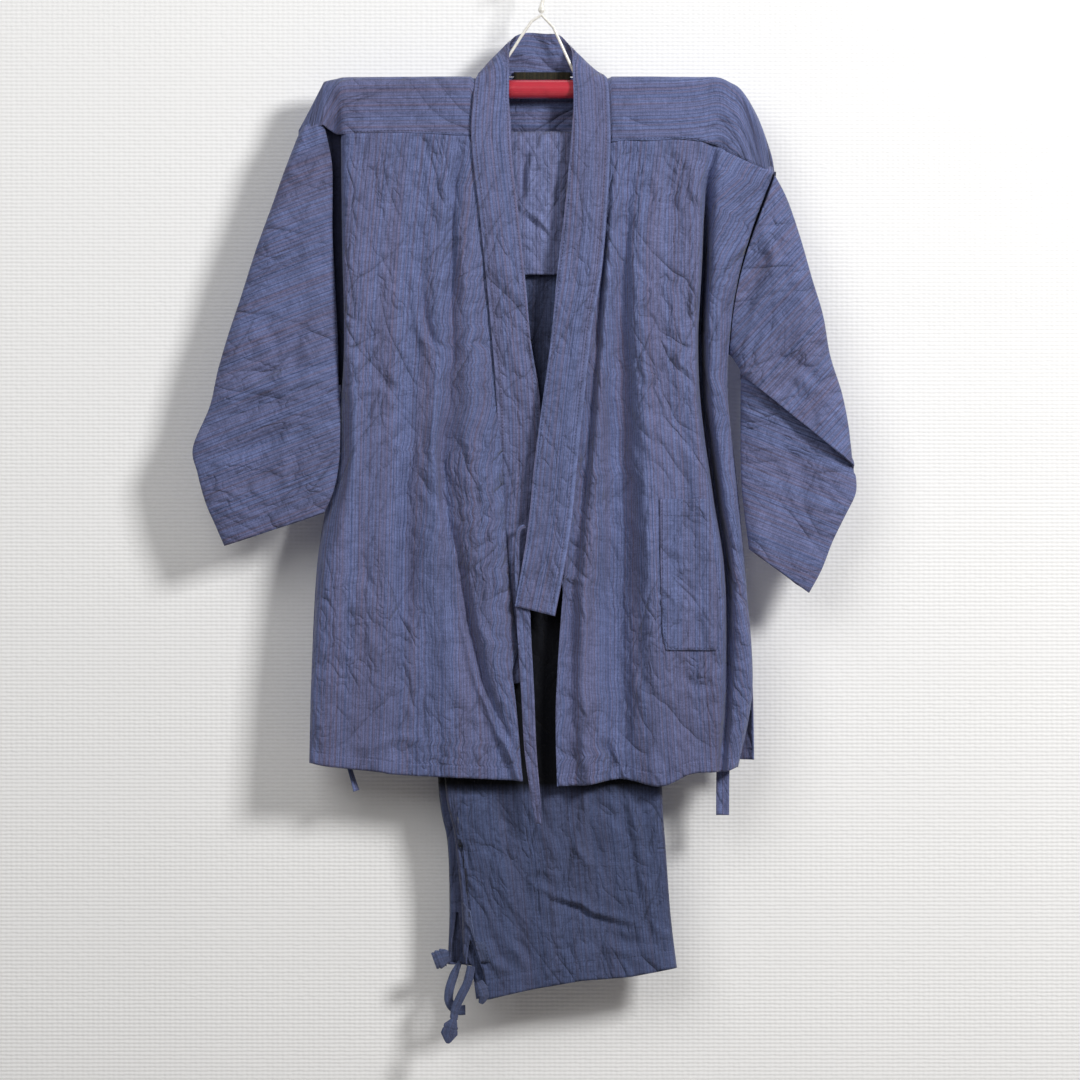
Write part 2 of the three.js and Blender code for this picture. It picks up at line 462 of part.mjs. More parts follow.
const PATCH = { from: [-79, 930.6], to: [-59, 952], columns: 4, rows: 4 };

const CORDS = {
  cord_near: { path: [[-74, 9, 1001], [-79, 10, 1013], [-86, 10, 1036], [-90, 9, 1050], [-91, 8, 1062], [-92, 8, 1074]], widths: [4, 3.6, 3.4, 4, 9, 5], depths: [1.2, 1.4, 1.6, 2.5, 6, 2] },
  cord_far: { path: [[-80.5, -4, 998.6], [-88, -1, 1008], [-91.6, 1, 1022], [-88, 0, 1036], [-78, -1, 1038], [-71, -2, 1036]], widths: [3.4, 3.2, 3.2, 3.4, 5.5, 4], depths: [1, 1.2, 1.2, 1.6, 3.5, 1.6] },
  knot_near: { path: [[-60, 12, 1013], [-57.5, 13.8, 1022], [-55, 12.6, 1035]], widths: [3, 5.4, 3], depths: [1.5, 3.4, 1.5] },
  knot_far: { path: [[-95.4, -4.8, 984], [-101, -3, 992], [-105, -2, 1001]], widths: [3, 7, 3.2], depths: [1.5, 4, 1.6] },
};

// ---------- the hanger ----------

function rodMesh({ radius, drop, from, to, rim }, sides) {
  const half = (to - from) / 2;
  const profile = [[0, -half], [radius - rim, -half], [radius, -half + rim], [radius, half - rim], [radius - rim, half], [0, half]];
  const geometry = new THREE.LatheGeometry(profile.map(([x, y]) => new THREE.Vector2(x, y)), sides);
  geometry.rotateZ(-Math.PI / 2);
  geometry.translate((from + to) / 2, 0, -drop);
  return geometry;
}

const [apexAcross, apexDrop] = WIRE.apex, rodTop = ROD.drop - ROD.radius - WIRE.radius + 0.3;
const hookArc = Array.from({ length: 9 }, (_, k) => {
  const a = -0.35 + (k / 8) * (Math.PI * 1.2);
  return at(HOOK.radius * Math.cos(a), 0, HOOK.radius - HOOK.wire - HOOK.radius * Math.sin(a));
});
const round = (path, r) => cord(path, [r, r], [r, r], 8);

// ---------- the nodes ----------

const material = (color, roughness = 0.9) => new THREE.MeshStandardMaterial({ color, roughness, side: THREE.DoubleSide });
const MATERIALS = {
  jacket: material(COLORS.jacket), trousers: material(COLORS.trousers), label: material(COLORS.label),
  red: material(COLORS.red, 0.15), white: material(COLORS.white, 0.5),
};

const group = new THREE.Group();
group.name = "samue";
function add(name, geometry, look) {
  const mesh = new THREE.Mesh(geometry, MATERIALS[look]);
  mesh.name = name;
  group.add(mesh);
}

add("front_right", wall(frontRight, CLOTH, { from: BEHIND }), "jacket");
add("front_left", wall(frontLeft, CLOTH, { from: BEHIND }), "jacket");
add("back", wall(back, CLOTH, { from: BEFORE }), "jacket");
add("yoke", wall(yokeGrid, CLOTH, { keep: (i, j) => !isNeck(j) || i < YOKE_NECK_ROW }), "jacket");
add("sleeve_right", wall(SLEEVE_RIGHT_RINGS.map(sleeveRing), CLOTH, { round: true }), "jacket");
add("sleeve_left", wall(SLEEVE_LEFT_RINGS.map(sleeveRing), CLOTH, { round: true }), "jacket");
add("collar", wall(collarGrid, BAND, { from: BEHIND }), "jacket");
add("pocket", wall(pocketGrid, CLOTH, { from: BEHIND }), "jacket");
add("label", wall(strip(LABEL_CUTS), TAPE, { from: BEHIND }), "label");
add("tie_center", wall(strip(TIE_CENTER_CUTS), TAPE, { from: BEHIND }), "jacket");
add("tie_hem_right", wall(strip(TIE_HEM_RIGHT_CUTS), TAPE, { from: BEHIND }), "jacket");
add("tie_hem_left", wall(strip(TIE_HEM_LEFT_CUTS), TAPE, { from: BEHIND }), "jacket");
add("waist", wall(waistGrid, CLOTH, { round: true }), "trousers");
const near = legGrid(LEG_NEAR_FOLDS, LEG_NEAR);
add("leg_near", wall(near, CLOTH, { round: true, keep: (i, j) => j !== LEG_NEAR.slit || i < SLIT_ROW }), "trousers");
add("leg_far", wall(legGrid(LEG_FAR_FOLDS, LEG_FAR), CLOTH, { round: true }), "trousers");
for (const [name, { path, widths, depths }] of Object.entries(CORDS)) add(name, cord(path.map((p) => at(...p)), widths, depths), "trousers");
add("rod", rodMesh(ROD, 24), "red");
add("bar", rodMesh(BAR, 12), "white");
add("bail", round([at(WIRE.left, 0, rodTop), at(WIRE.bend[0], 0, WIRE.bend[1]), at(apexAcross, 0, apexDrop), at(WIRE.right, 0, rodTop)], WIRE.radius), "white");
const hookRadii = [1.9, 3.4, 2.2, ...Array(hookArc.length + 1).fill(HOOK.wire)];
const hookPath = [at(apexAcross, 0, apexDrop - WIRE.radius - LIFT), at(apexAcross, 0, apexDrop - 5), at(apexAcross, 0, apexDrop - 9), at(4, 0, 25), ...hookArc];
add("hook", cord(hookPath, hookRadii, hookRadii, 8), "white");

for (const [name, across] of Object.entries(LINK.places))
  add(name, round([at(across, 0, ROD.drop + ROD.radius + LIFT), at(across, 0, BAR.drop - BAR.radius - LIFT)], LINK.radius), "white");

export default group;
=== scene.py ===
"""Looks for a samue jacket and its drawstring trousers, hung on a round rod with a wire loop.

The tables are in millimetres and name every point by three directions, as the part does: across (+ towards the
wearer's left), out (+ towards the wearer's front) and drop (down from the inside of the hook). Meshes are in metres.
"""
import logging
import math
from collections.abc import Callable, Sequence
from dataclasses import dataclass, field
from enum import Enum, auto
from functools import partial

import bmesh
import bpy
import numpy as np
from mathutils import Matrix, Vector

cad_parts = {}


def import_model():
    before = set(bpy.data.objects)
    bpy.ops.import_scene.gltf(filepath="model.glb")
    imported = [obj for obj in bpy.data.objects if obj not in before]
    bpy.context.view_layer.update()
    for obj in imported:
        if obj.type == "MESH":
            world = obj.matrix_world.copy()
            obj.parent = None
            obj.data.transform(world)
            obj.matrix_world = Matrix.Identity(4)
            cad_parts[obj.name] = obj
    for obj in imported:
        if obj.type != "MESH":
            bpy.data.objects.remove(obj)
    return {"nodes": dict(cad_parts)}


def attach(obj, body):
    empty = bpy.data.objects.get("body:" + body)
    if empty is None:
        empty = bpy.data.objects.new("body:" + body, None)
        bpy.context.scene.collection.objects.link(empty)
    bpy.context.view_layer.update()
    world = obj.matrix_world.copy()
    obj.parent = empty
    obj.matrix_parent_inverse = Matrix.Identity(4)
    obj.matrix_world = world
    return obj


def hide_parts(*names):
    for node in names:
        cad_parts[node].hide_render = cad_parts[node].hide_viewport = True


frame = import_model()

MM = 0.001
LOG = logging.getLogger("samue")
Array = np.ndarray  # grids are rows x columns x (across, out, drop)
Triple = tuple[float, float, float]
Keep = Callable[[Array, Array], Array]  # says which cells stay, from their row and column

CLOTH = 1.2  # one layer of cloth
BAND = 2.4  # the folded collar band
TAPE = 1.0  # ties and cords
RELIEF = 1.9  # how strongly the creases stand out
NOISE_CELLS = 128  # after so many cells the noise repeats


# ---------- reading tables ----------

def along(values: Sequence | Array, places: Array) -> Array:
    """Reads rows of values at fractional places through a smooth curve.

    Args:
        values: one row a place, each a number or an array.
        places: where to read, from 0 to the last row.

    Returns:
        The values at the places, one row each.
    """
    values = np.asarray(values, float)
    last = len(values) - 1
    i = np.clip(np.floor(places).astype(int), 0, last - 1)
    t = (np.asarray(places, float) - i).reshape((-1,) + (1,) * (values.ndim - 1))
    a, b, c, d = (values[np.clip(i + k, 0, last)] for k in (-1, 0, 1, 2))
    m, n = (c - a) / 2, (d - b) / 2
    return b + t * (m + t * (3 * (c - b) - 2 * m - n + t * (2 * (b - c) + m + n)))


def lengths(points: Array, axis: int = 0) -> Array:
    """Running length of lines of points along one axis, starting at 0."""
    step = np.linalg.norm(np.diff(points, axis=axis), axis=-1)
    pad = [(0, 0)] * step.ndim
    pad[axis] = (1, 0)
    return np.cumsum(np.pad(step, pad), axis=axis)


def even(line: Callable[[Array], Array], last: float, spacing: float) -> Array:
    """Places from 0 to last that stand evenly along a line.

    Args:
        line: gives the line's points at an array of places.
        last: the last place.
        spacing: the distance between points, in millimetres.

    Returns:
        The places.
    """
    trial = np.linspace(0, last, int(last * 30) + 1)
    run = lengths(line(trial))
    return np.interp(np.linspace(0, run[-1], max(2, round(run[-1] / spacing)) + 1), run, trial)


def soft_step(x: Array, low: float, high: float) -> Array:
    """A smooth rise from 0 at low to 1 at high."""
    t = np.clip((x - low) / (high - low), 0, 1)
    return t * t * (3 - 2 * t)


# ---------- wrinkles ----------

class Profile(Enum):
    """The cut across a crease."""

    SOFT = auto()  # a round swell
    CRISP = auto()  # a pressed line
    STEP = auto()  # stands out on the left of its path and falls in on the right


@dataclass(frozen=True)
class Crease:
    """A crease laid along a path of (across, drop) points; a negative height falls in."""

    path: tuple[tuple[float, float], ...]
    height: float
    width: float
    profile: Profile = Profile.SOFT

    def lift(self, x: Array, y: Array) -> Array:
        """How far the crease moves the cloth at places x across and y down."""
        points = np.array(self.path, float)
        run = np.concatenate([[0], np.cumsum(np.linalg.norm(np.diff(points, axis=0), axis=1))])
        best, side, place = np.full(x.shape, np.inf), np.zeros(x.shape), np.zeros(x.shape)
        for k, (p, q) in enumerate(zip(points, points[1:])):
            d = q - p
            t = np.clip(((x - p[0]) * d[0] + (y - p[1]) * d[1]) / (d @ d), 0, 1)
            dx, dy = x - p[0] - t * d[0], y - p[1] - t * d[1]
            far = np.hypot(dx, dy)
            near = far < best
            best = np.where(near, far, best)
            side = np.where(near, np.sign(d[0] * dy - d[1] * dx), side)
            place = np.where(near, run[k] + t * (run[k + 1] - run[k]), place)
        taper = np.sin(np.pi * np.clip(place / run[-1], 0.03, 0.97)) ** 0.7 * RELIEF
        r = best / self.width
        cut = {
            Profile.SOFT: lambda: np.exp(-r * r),
            Profile.CRISP: lambda: np.exp(-1.3 * r),
            Profile.STEP: lambda: side * r * np.exp(0.5 - 0.5 * r * r),
        }[self.profile]()
        return self.height * taper * cut


def noise(x: Array, y: Array, seed: int) -> Array:
    """Smooth noise from -1 to 1 whose cells are one unit wide."""
    table = np.random.default_rng(seed).uniform(-1, 1, (NOISE_CELLS, NOISE_CELLS))
    i, j = np.floor(x).astype(int), np.floor(y).astype(int)
    u, v = x - i, y - j
    u, v = u * u * (3 - 2 * u), v * v * (3 - 2 * v)
    i, j, k, m = (v % NOISE_CELLS for v in (i, j, i + 1, j + 1))
    a, b, c, d = table[i, j], table[k, j], table[i, m], table[k, m]
    return (a * (1 - u) + b * u) * (1 - v) + (c * (1 - u) + d * u) * v


@dataclass(frozen=True)
class Crumple:
    """Small wrinkles of washed cotton: soft ridges with sharper tops, longer down than across."""

    seed: int
    height: float = 2.0
    size: float = 26.0
    stretch: float = 2.1
    creases: int = 46

    def lift(self, x: Array, y: Array) -> Array:
        """How far the wrinkles move the cloth at places x across and y down."""
        wx = x + 0.5 * self.size * noise(x / self.size, y / self.size, self.seed + 50)
        wy = y + 0.5 * self.size * noise(x / self.size, y / self.size, self.seed + 51)
        total = np.zeros(x.shape)
        for k, (cell, share) in enumerate(((1.8, 0.8), (0.8, 0.5), (0.42, 0.3), (0.22, 0.16))):
            n = noise(wx / (self.size * cell), wy / (self.size * cell * self.stretch), self.seed + k)
            total += share * (n if k == 0 else 0.5 - 1.6 * np.abs(n) ** 0.8)
        rng = np.random.default_rng(self.seed + 90)
        for _ in range(self.creases):
            px, py = rng.uniform(x.min(), x.max()), rng.uniform(y.min(), y.max())
            turn, long, bow = rng.normal(math.pi / 2, 0.65), rng.uniform(12, 55), rng.uniform(-0.25, 0.25)
            dx, dy = math.cos(turn) * long / 2, math.sin(turn) * long / 2
            path = ((px - dx, py - dy), (px + bow * dy, py - bow * dx), (px + dx, py + dy))
            kind = Profile.STEP if rng.random() < 0.6 else Profile.CRISP
            total += Crease(path, rng.uniform(-0.6, 0.6), rng.uniform(1.5, 4.0), kind).lift(x, y)
        return self.height * total


# ---------- meshes ----------

def world(points: Array) -> Array:
    """Points by across, out and drop in millimetres as x, y and z in metres."""
    return np.stack([points[..., 0], -points[..., 1], -points[..., 2]], axis=-1) * MM


def new_mesh(name: str, points: Array, faces: list, uv: Array | None = None) -> bpy.types.Object:
    """A smooth-shaded object from points in metres, faces and, if given, one uv a face corner."""
    mesh = bpy.data.meshes.new(name)
    mesh.from_pydata(points.reshape(-1, 3).tolist(), [], faces)
    if uv is not None:
        mesh.uv_layers.new(name="cloth").data.foreach_set("uv", uv.astype(np.float32).ravel())
    mesh.polygons.foreach_set("use_smooth", [True] * len(mesh.polygons))
    mesh.update()
    piece = bpy.data.objects.new(name, mesh)
    bpy.context.scene.collection.objects.link(piece)
    return piece


def cloth(name: str, grid: Array, uv: Array, away: Sequence[float], ring: bool = False,
          keep: Keep | None = None, wall: float = CLOTH) -> bpy.types.Object:
    """A thin shell of cloth on a grid of its outer face.

    Args:
        name: the piece's name.
        grid: rows x columns x 3 points in millimetres.
        uv: the same grid in metres of cloth, with one more column where it is a ring.
        away: a point that the outer face looks away from, by across, out and drop.
        ring: whether the last column joins the first.
        keep: which cells stay, from their row and column; all if None.
        wall: the cloth's thickness in millimetres.

    Returns:
        The piece, with its wall as a modifier.
    """
    rows, columns = grid.shape[:2]
    i, j = (a.ravel() for a in np.meshgrid(np.arange(rows - 1), np.arange(columns - (not ring)), indexing="ij"))
    if keep is not None:
        stay = keep(i, j)
        i, j = i[stay], j[stay]
    corner = [(i, j), (i, j + 1), (i + 1, j + 1), (i + 1, j)]
    faces = np.stack([a * columns + b % columns for a, b in corner], axis=-1)
    coats = np.stack([uv[a, b] for a, b in corner], axis=1)
    p = grid.reshape(-1, 3)[faces]
    normal = np.cross(p[:, 2] - p[:, 0], p[:, 3] - p[:, 1])
    looks = (normal * (p.mean(1) - np.asarray(away, float))).sum()
    if looks <= 0:  # the corners run the wrong way round for an outer face
        faces, coats = faces[:, ::-1], coats[:, ::-1]
    piece = new_mesh(name, world(grid), faces.tolist(), coats.reshape(-1, 2))
    solid = piece.modifiers.new("wall", "SOLIDIFY")
    solid.thickness, solid.offset, solid.use_quality_normals = wall * MM, -1, True
    return piece


def cord_path(points: Sequence[Sequence[float]], count: int) -> Array:
    """A smooth path of count points through given ones, in millimetres."""
    return along(np.array(points, float), np.linspace(0, len(points) - 1, count))


def strap(name: str, path: Array, half: Sequence[float], thick: float | Sequence[float],
          lean: Sequence[float] | None = None, sides: int = 14) -> bpy.types.Object:
    """A flat closed cord or tie along a path.

    Args:
        name: the piece's name.
        path: its middle line, by across, out and drop.
        half: half its width at places along it.
        thick: its thickness, the same all along or at places along it.
        lean: how far it is turned about its line at places along it, in degrees.
        sides: points round it.

    Returns:
        The piece.
    """
    n = len(path)
    spread = lambda values: np.interp(np.linspace(0, len(values) - 1, n), range(len(values)), values)
    ahead = np.gradient(path, axis=0)
    ahead /= np.linalg.norm(ahead, axis=1)[:, None]
    front = np.array([0, 1, 0]) - ahead * ahead[:, 1:2]
    front /= np.linalg.norm(front, axis=1)[:, None]
    side = np.cross(ahead, front)
    turn = np.radians(spread(lean or (0, 0)))[:, None]
    side, front = side * np.cos(turn) + front * np.sin(turn), front * np.cos(turn) - side * np.sin(turn)
    a = 2 * np.pi * np.arange(sides) / sides
    c, s = np.sign(np.cos(a)) * np.abs(np.cos(a)) ** 0.6, np.sign(np.sin(a)) * np.abs(np.sin(a)) ** 0.8
    wide, deep = spread(half), spread(np.atleast_1d(thick))
    reach, rise = (wide[:, None] * c)[..., None], (deep[:, None] / 2 * s)[..., None]
    rings = path[:, None] + side[:, None] * reach + front[:, None] * rise
    run = lengths(path)
    uv = np.stack(np.broadcast_arrays((wide[:, None] * np.append(c, c[0])), run[:, None]), axis=-1) * MM
    i, j = (v.ravel() for v in np.meshgrid(np.arange(n - 1), np.arange(sides), indexing="ij"))
    corner = [(i, j), (i + 1, j), (i + 1, j + 1), (i, j + 1)]
    faces = np.stack([a * sides + b % sides for a, b in corner], axis=-1).tolist()
    coats = np.stack([uv[a, b] for a, b in corner], axis=1).reshape(-1, 2)
    caps = [list(range(sides)), list(range((n - 1) * sides, n * sides))[::-1]]
    coats = np.concatenate([coats, *[np.stack([wide[k] * c, run[k] + 0 * c], -1) * MM for k in (0, -1)]])
    piece = new_mesh(name, world(rings), faces + caps, coats)
    tidy_normals(piece)
    return piece


def tidy_normals(piece: bpy.types.Object) -> None:
    """Turns a closed mesh's faces outwards."""
    work = bmesh.new()
    work.from_mesh(piece.data)
    bmesh.ops.recalc_face_normals(work, faces=work.faces)
    work.to_mesh(piece.data)
    work.free()


def stitches(name: str, lines: Sequence[Array], pitch: float = 3.4, long: float = 2.3,
             thick: float = 0.55) -> bpy.types.Object:
    """A run of small stitches along lines on the cloth.

    Args:
        name: the piece's name.
        lines: lines of points on the outer face, in millimetres.
        pitch: from one stitch to the next.
        long: a stitch's length.
        thick: its thickness.

    Returns:
        One piece with every stitch.
    """
    points, faces = [], []
    for line in lines:
        run = lengths(line)
        for s in np.arange(pitch, run[-1] - pitch / 2, pitch):
            p, q = (np.array([np.interp(s + k * long / 2, run, line[:, c]) for c in range(3)]) for k in (-1, 1))
            mid, d = (p + q) / 2, (q - p) / max(np.linalg.norm(q - p), 1e-6)
            up = np.array([0, 1, 0]) - d * d[1]
            up /= np.linalg.norm(up)
            side = np.cross(d, up)
            base = len(points)
            points += [p, q, mid + side * thick / 2, mid + up * thick * 0.7, mid - side * thick / 2,
                       mid - up * thick / 2]
            faces += [(base + e, base + 2 + k, base + 2 + (k + 1) % 4) for e in (0, 1) for k in range(4)]
    piece = new_mesh(name, world(np.array(points)), faces)
    tidy_normals(piece)
    return piece


# ---------- finishes ----------

def node(tree: bpy.types.NodeTree, kind: str, **values: object) -> bpy.types.Node:
    """Adds a node; a value named like a socket goes to that input and any other to the node."""
    made = tree.nodes.new(kind)
    for key, value in values.items():
        if key in made.inputs:
            made.inputs[key].default_value = value
        else:
            setattr(made, key, value)
    return made


def math_node(tree: bpy.types.NodeTree, operation: str, a: object, b: object = 0.5,
              c: object = 0.0) -> bpy.types.NodeSocket:
    """A Math node's output; a, b and c are numbers or sockets."""
    made = tree.nodes.new("ShaderNodeMath")
    made.operation = operation
    for slot, value in zip(made.inputs, (a, b, c)):
        if isinstance(value, bpy.types.NodeSocket):
            tree.links.new(value, slot)
        else:
            slot.default_value = value
    return made.outputs[0]


def stripe_group() -> bpy.types.NodeTree:
    """Builds the group of warp stripes, slubs and weave that every cloth uses, with painted shade darkening the
    colour along wrinkle lines.
    """
    group = bpy.data.node_groups.new("warp_stripes", "ShaderNodeTree")
    calc = partial(math_node, group)
    face = group.interface
    face.new_socket("Cloth", in_out="INPUT", socket_type="NodeSocketVector")
    for name in ("Light", "Dark", "Brown"):
        face.new_socket(name, in_out="INPUT", socket_type="NodeSocketColor")
    for name in ("Contrast", "Brownness", "Wear"):
        face.new_socket(name, in_out="INPUT", socket_type="NodeSocketFloat")
    face.new_socket("Color", in_out="OUTPUT", socket_type="NodeSocketColor")
    for name in ("Height", "Wrinkle", "Roughness"):
        face.new_socket(name, in_out="OUTPUT", socket_type="NodeSocketFloat")
    start, end = group.nodes.new("NodeGroupInput"), group.nodes.new("NodeGroupOutput")
    parts = node(group, "ShaderNodeSeparateXYZ")
    group.links.new(start.outputs["Cloth"], parts.inputs[0])
    u, v = parts.outputs[0], parts.outputs[1]

    def threads(across: float, down: float, detail: float, seed: float) -> bpy.types.NodeSocket:
        """Noise drawn out into threads, with cells so many a metre across and down."""
        place = node(group, "ShaderNodeCombineXYZ", Z=seed)
        group.links.new(calc("MULTIPLY", u, across), place.inputs[0])
        group.links.new(calc("MULTIPLY", v, down), place.inputs[1])
        made = node(group, "ShaderNodeTexNoise", Scale=1.0, Detail=detail, Roughness=0.6)
        group.links.new(place.outputs[0], made.inputs["Vector"])
        return made.outputs["Fac"]

    def spread(value: bpy.types.NodeSocket, low: float, high: float) -> bpy.types.NodeSocket:
        """Widens a value so that low becomes 0 and high becomes 1."""
        made = node(group, "ShaderNodeMapRange", **{"From Min": low, "From Max": high})
        group.links.new(value, made.inputs["Value"])
        return made.outputs[0]

    def blend(kind: str, factor: object, a: object, b: object) -> bpy.types.NodeSocket:
        """Mixes two colours."""
        made = group.nodes.new("ShaderNodeMix")
        made.data_type, made.blend_type = "RGBA", kind
        for slot, value in ((made.inputs[0], factor), (made.inputs[6], a), (made.inputs[7], b)):
            if isinstance(value, bpy.types.NodeSocket):
                group.links.new(value, slot)
            else:
                slot.default_value = value
        return made.outputs[2]

    jitter = calc("MULTIPLY", threads(150, 1.5, 1.0, 3.3), 1.7)

    def pins(pitch: float, low: float, high: float, seed: float) -> bpy.types.NodeSocket:
        """Thin lines with a pitch in millimetres, unevenly spaced and unevenly strong."""
        place = calc("ADD", calc("MULTIPLY", u, 2000 / pitch), calc("ADD", jitter, seed))
        line = spread(calc("PINGPONG", place, 1.0), low, high)
        return calc("MULTIPLY", line, spread(threads(700 / pitch, 3, 1.0, seed), 0.22, 0.6))

    fine = spread(threads(900, 8, 2.0, 0.3), 0.36, 0.64)
    broad = spread(threads(90, 2, 2.0, 4.1), 0.36, 0.68)
    lines = calc("MAXIMUM", pins(3.6, 0.62, 0.88, 0.0), calc("MULTIPLY", pins(2.3, 0.55, 0.9, 5.7), 0.6))
    stripe = calc("MULTIPLY_ADD", fine, 0.2, calc("MULTIPLY_ADD", broad, 0.14, calc("MULTIPLY", lines, 0.72)))
    color = blend("MIX", calc("MULTIPLY", stripe, start.outputs["Contrast"]), start.outputs["Light"],
                  start.outputs["Dark"])
    plum = calc("MULTIPLY_ADD", spread(threads(60, 2, 1.0, 7.9), 0.45, 0.62), 0.45,
                calc("MULTIPLY", pins(5.3, 0.5, 0.8, 8.2), 0.75))
    color = blend("MIX", calc("MULTIPLY", plum, start.outputs["Brownness"]), color, start.outputs["Brown"])
    slub = spread(threads(60, 560, 2.0, 2.2), 0.3, 0.72)
    speck = spread(threads(1300, 900, 1.0, 6.6), 0.25, 0.75)
    tone_and_crease_shade = calc("MULTIPLY_ADD", slub, 0.26, calc("MULTIPLY_ADD", speck, 0.5, 0.62))
    fade = spread(threads(9, 7, 3.0, 1.4), 0.35, 0.65)
    tone_and_crease_shade = calc("MULTIPLY", tone_and_crease_shade, calc("MULTIPLY_ADD", fade, start.outputs["Wear"], 0.93))

    def wrinkles(size: float, long: float, lean: float, seed: float) -> bpy.types.NodeSocket:
        """Wrinkles with cells of so many metres, drawn out and leaning: 0 along their lines and 1 between them."""
        place = node(group, "ShaderNodeCombineXYZ", Z=seed)
        c, s = math.cos(lean), math.sin(lean)
        group.links.new(calc("MULTIPLY_ADD", u, c / size, calc("MULTIPLY", v, s / size)), place.inputs[0])
        group.links.new(calc("MULTIPLY_ADD", u, -s / size / long, calc("MULTIPLY", v, c / size / long)),
                        place.inputs[1])
        made = node(group, "ShaderNodeTexNoise", Scale=1.0, Detail=1.8, Roughness=0.5, Distortion=0.5)
        group.links.new(place.outputs[0], made.inputs["Vector"])
        far = calc("ABSOLUTE", calc("SUBTRACT", made.outputs["Fac"], 0.5))
        return calc("POWER", spread(far, 0.0, 0.2), 0.75)

    large = [wrinkles(0.04, 3.2, 0.4, 12.1), wrinkles(0.034, 3.0, -0.55, 17.3)]
    small = wrinkles(0.014, 1.8, 0.1, 15.7)
    where = [spread(threads(12, 8, 1.0, seed), 0.34, 0.6) for seed in (9.3, 19.9)]
    sunk = calc("MULTIPLY_ADD", calc("MULTIPLY", small, where[0]), 0.3, calc("MULTIPLY", small, 0.12))
    for fold, share in zip(large, where):
        sunk = calc("MULTIPLY_ADD", fold, calc("MULTIPLY_ADD", share, 0.75, 0.2), sunk)
    group.links.new(sunk, end.inputs["Wrinkle"])
    # Painted shade: the colour is darkened along the wrinkle lines, where shade falls in creases.
    crease_shade = calc("MULTIPLY_ADD", spread(small, 0.0, 0.35), 0.07, 0.77)
    for fold in large:
        crease_shade = calc("MULTIPLY_ADD", spread(fold, 0.0, 0.3), 0.1, crease_shade)
    tone_and_crease_shade = calc("MULTIPLY", tone_and_crease_shade, crease_shade)
    shade = node(group, "ShaderNodeCombineColor")
    for slot in shade.inputs[:3]:
        group.links.new(tone_and_crease_shade, slot)
    group.links.new(blend("MULTIPLY", 1.0, color, shade.outputs[0]), end.inputs["Color"])
    weave = calc("MULTIPLY_ADD", slub, 0.5, calc("MULTIPLY_ADD", speck, 0.35, calc("MULTIPLY", fine, 0.35)))
    group.links.new(weave, end.inputs["Height"])
    group.links.new(calc("MULTIPLY_ADD", slub, 0.12, 0.8), end.inputs["Roughness"])
    return group


@dataclass(frozen=True)
class ClothFinish:
    """Faded striped cotton; its stripes run down the cloth's second coordinate. Its colour carries painted shade
    along wrinkle lines and, where a band is given, between two drops.
    """

    name: str
    slot: str
    light: Triple
    dark: Triple
    brown: Triple
    contrast: float = 0.85
    brownness: float = 0.55
    wear: float = 0.14
    bump: float = 0.00022
    wrinkle: float = 0.004  # how deep its small wrinkles are
    painted_shade_band: Triple | None = None  # two drops in metres with painted shade between them, where the legs hang in shadow inside the jacket, and how soft its ends are
    painted_shade_factor: float = 0.05  # how light that painted shade is, where 1 is the cloth's own colour

    def make(self, group: bpy.types.NodeTree) -> bpy.types.Material:
        """Builds the material around the shared stripe group."""
        material = bpy.data.materials.new(self.name)
        material.use_nodes = True
        tree = material.node_tree
        shader = tree.nodes["Principled BSDF"]
        shader.inputs["Specular IOR Level"].default_value = 0.2
        shader.inputs["Sheen Weight"].default_value = 0.12
        shader.inputs["Sheen Roughness"].default_value = 0.5
        cloth_map = node(tree, "ShaderNodeUVMap", uv_map="cloth")
        stripes = tree.nodes.new("ShaderNodeGroup")
        stripes.node_tree = group
        for key, color in (("Light", self.light), ("Dark", self.dark), ("Brown", self.brown)):
            stripes.inputs[key].default_value = (*color, 1)
        for key, value in (("Contrast", self.contrast), ("Brownness", self.brownness), ("Wear", self.wear)):
            stripes.inputs[key].default_value = value
        tree.links.new(cloth_map.outputs[0], stripes.inputs["Cloth"])
        color = stripes.outputs["Color"]
        # Painted shade: the legs are darkened between two drops, where they hang in shadow inside the jacket.
        if self.painted_shade_band:
            parts = tree.nodes.new("ShaderNodeSeparateXYZ")
            tree.links.new(cloth_map.outputs[0], parts.inputs[0])
            begin, end, soft = self.painted_shade_band
            ends = []
            for low, high, above, below in ((end - soft, end, self.painted_shade_factor, 1.0), (begin, begin + soft, 1.0, self.painted_shade_factor)):
                ramp = node(tree, "ShaderNodeMapRange",
                            **{"From Min": low, "From Max": high, "To Min": above, "To Max": below})
                tree.links.new(parts.outputs[1], ramp.inputs["Value"])
                ends.append(ramp.outputs[0])
            painted_shade_factor = math_node(tree, "MAXIMUM", *ends)
            shade, mix = node(tree, "ShaderNodeCombineColor"), tree.nodes.new("ShaderNodeMix")
            mix.data_type, mix.blend_type = "RGBA", "MULTIPLY"
            mix.inputs[0].default_value = 1.0
            for socket in shade.inputs[:3]:
                tree.links.new(painted_shade_factor, socket)
            tree.links.new(color, mix.inputs[6])
            tree.links.new(shade.outputs[0], mix.inputs[7])
            color = mix.outputs[2]
        tree.links.new(color, shader.inputs["Base Color"])
        tree.links.new(stripes.outputs["Roughness"], shader.inputs["Roughness"])
        creased = node(tree, "ShaderNodeBump", Strength=1.0, Distance=self.wrinkle)
        tree.links.new(stripes.outputs["Wrinkle"], creased.inputs["Height"])
        bump = node(tree, "ShaderNodeBump", Strength=1.0, Distance=self.bump)
        tree.links.new(stripes.outputs["Height"], bump.inputs["Height"])
        tree.links.new(creased.outputs[0], bump.inputs["Normal"])
        tree.links.new(bump.outputs[0], shader.inputs["Normal"])
        return material


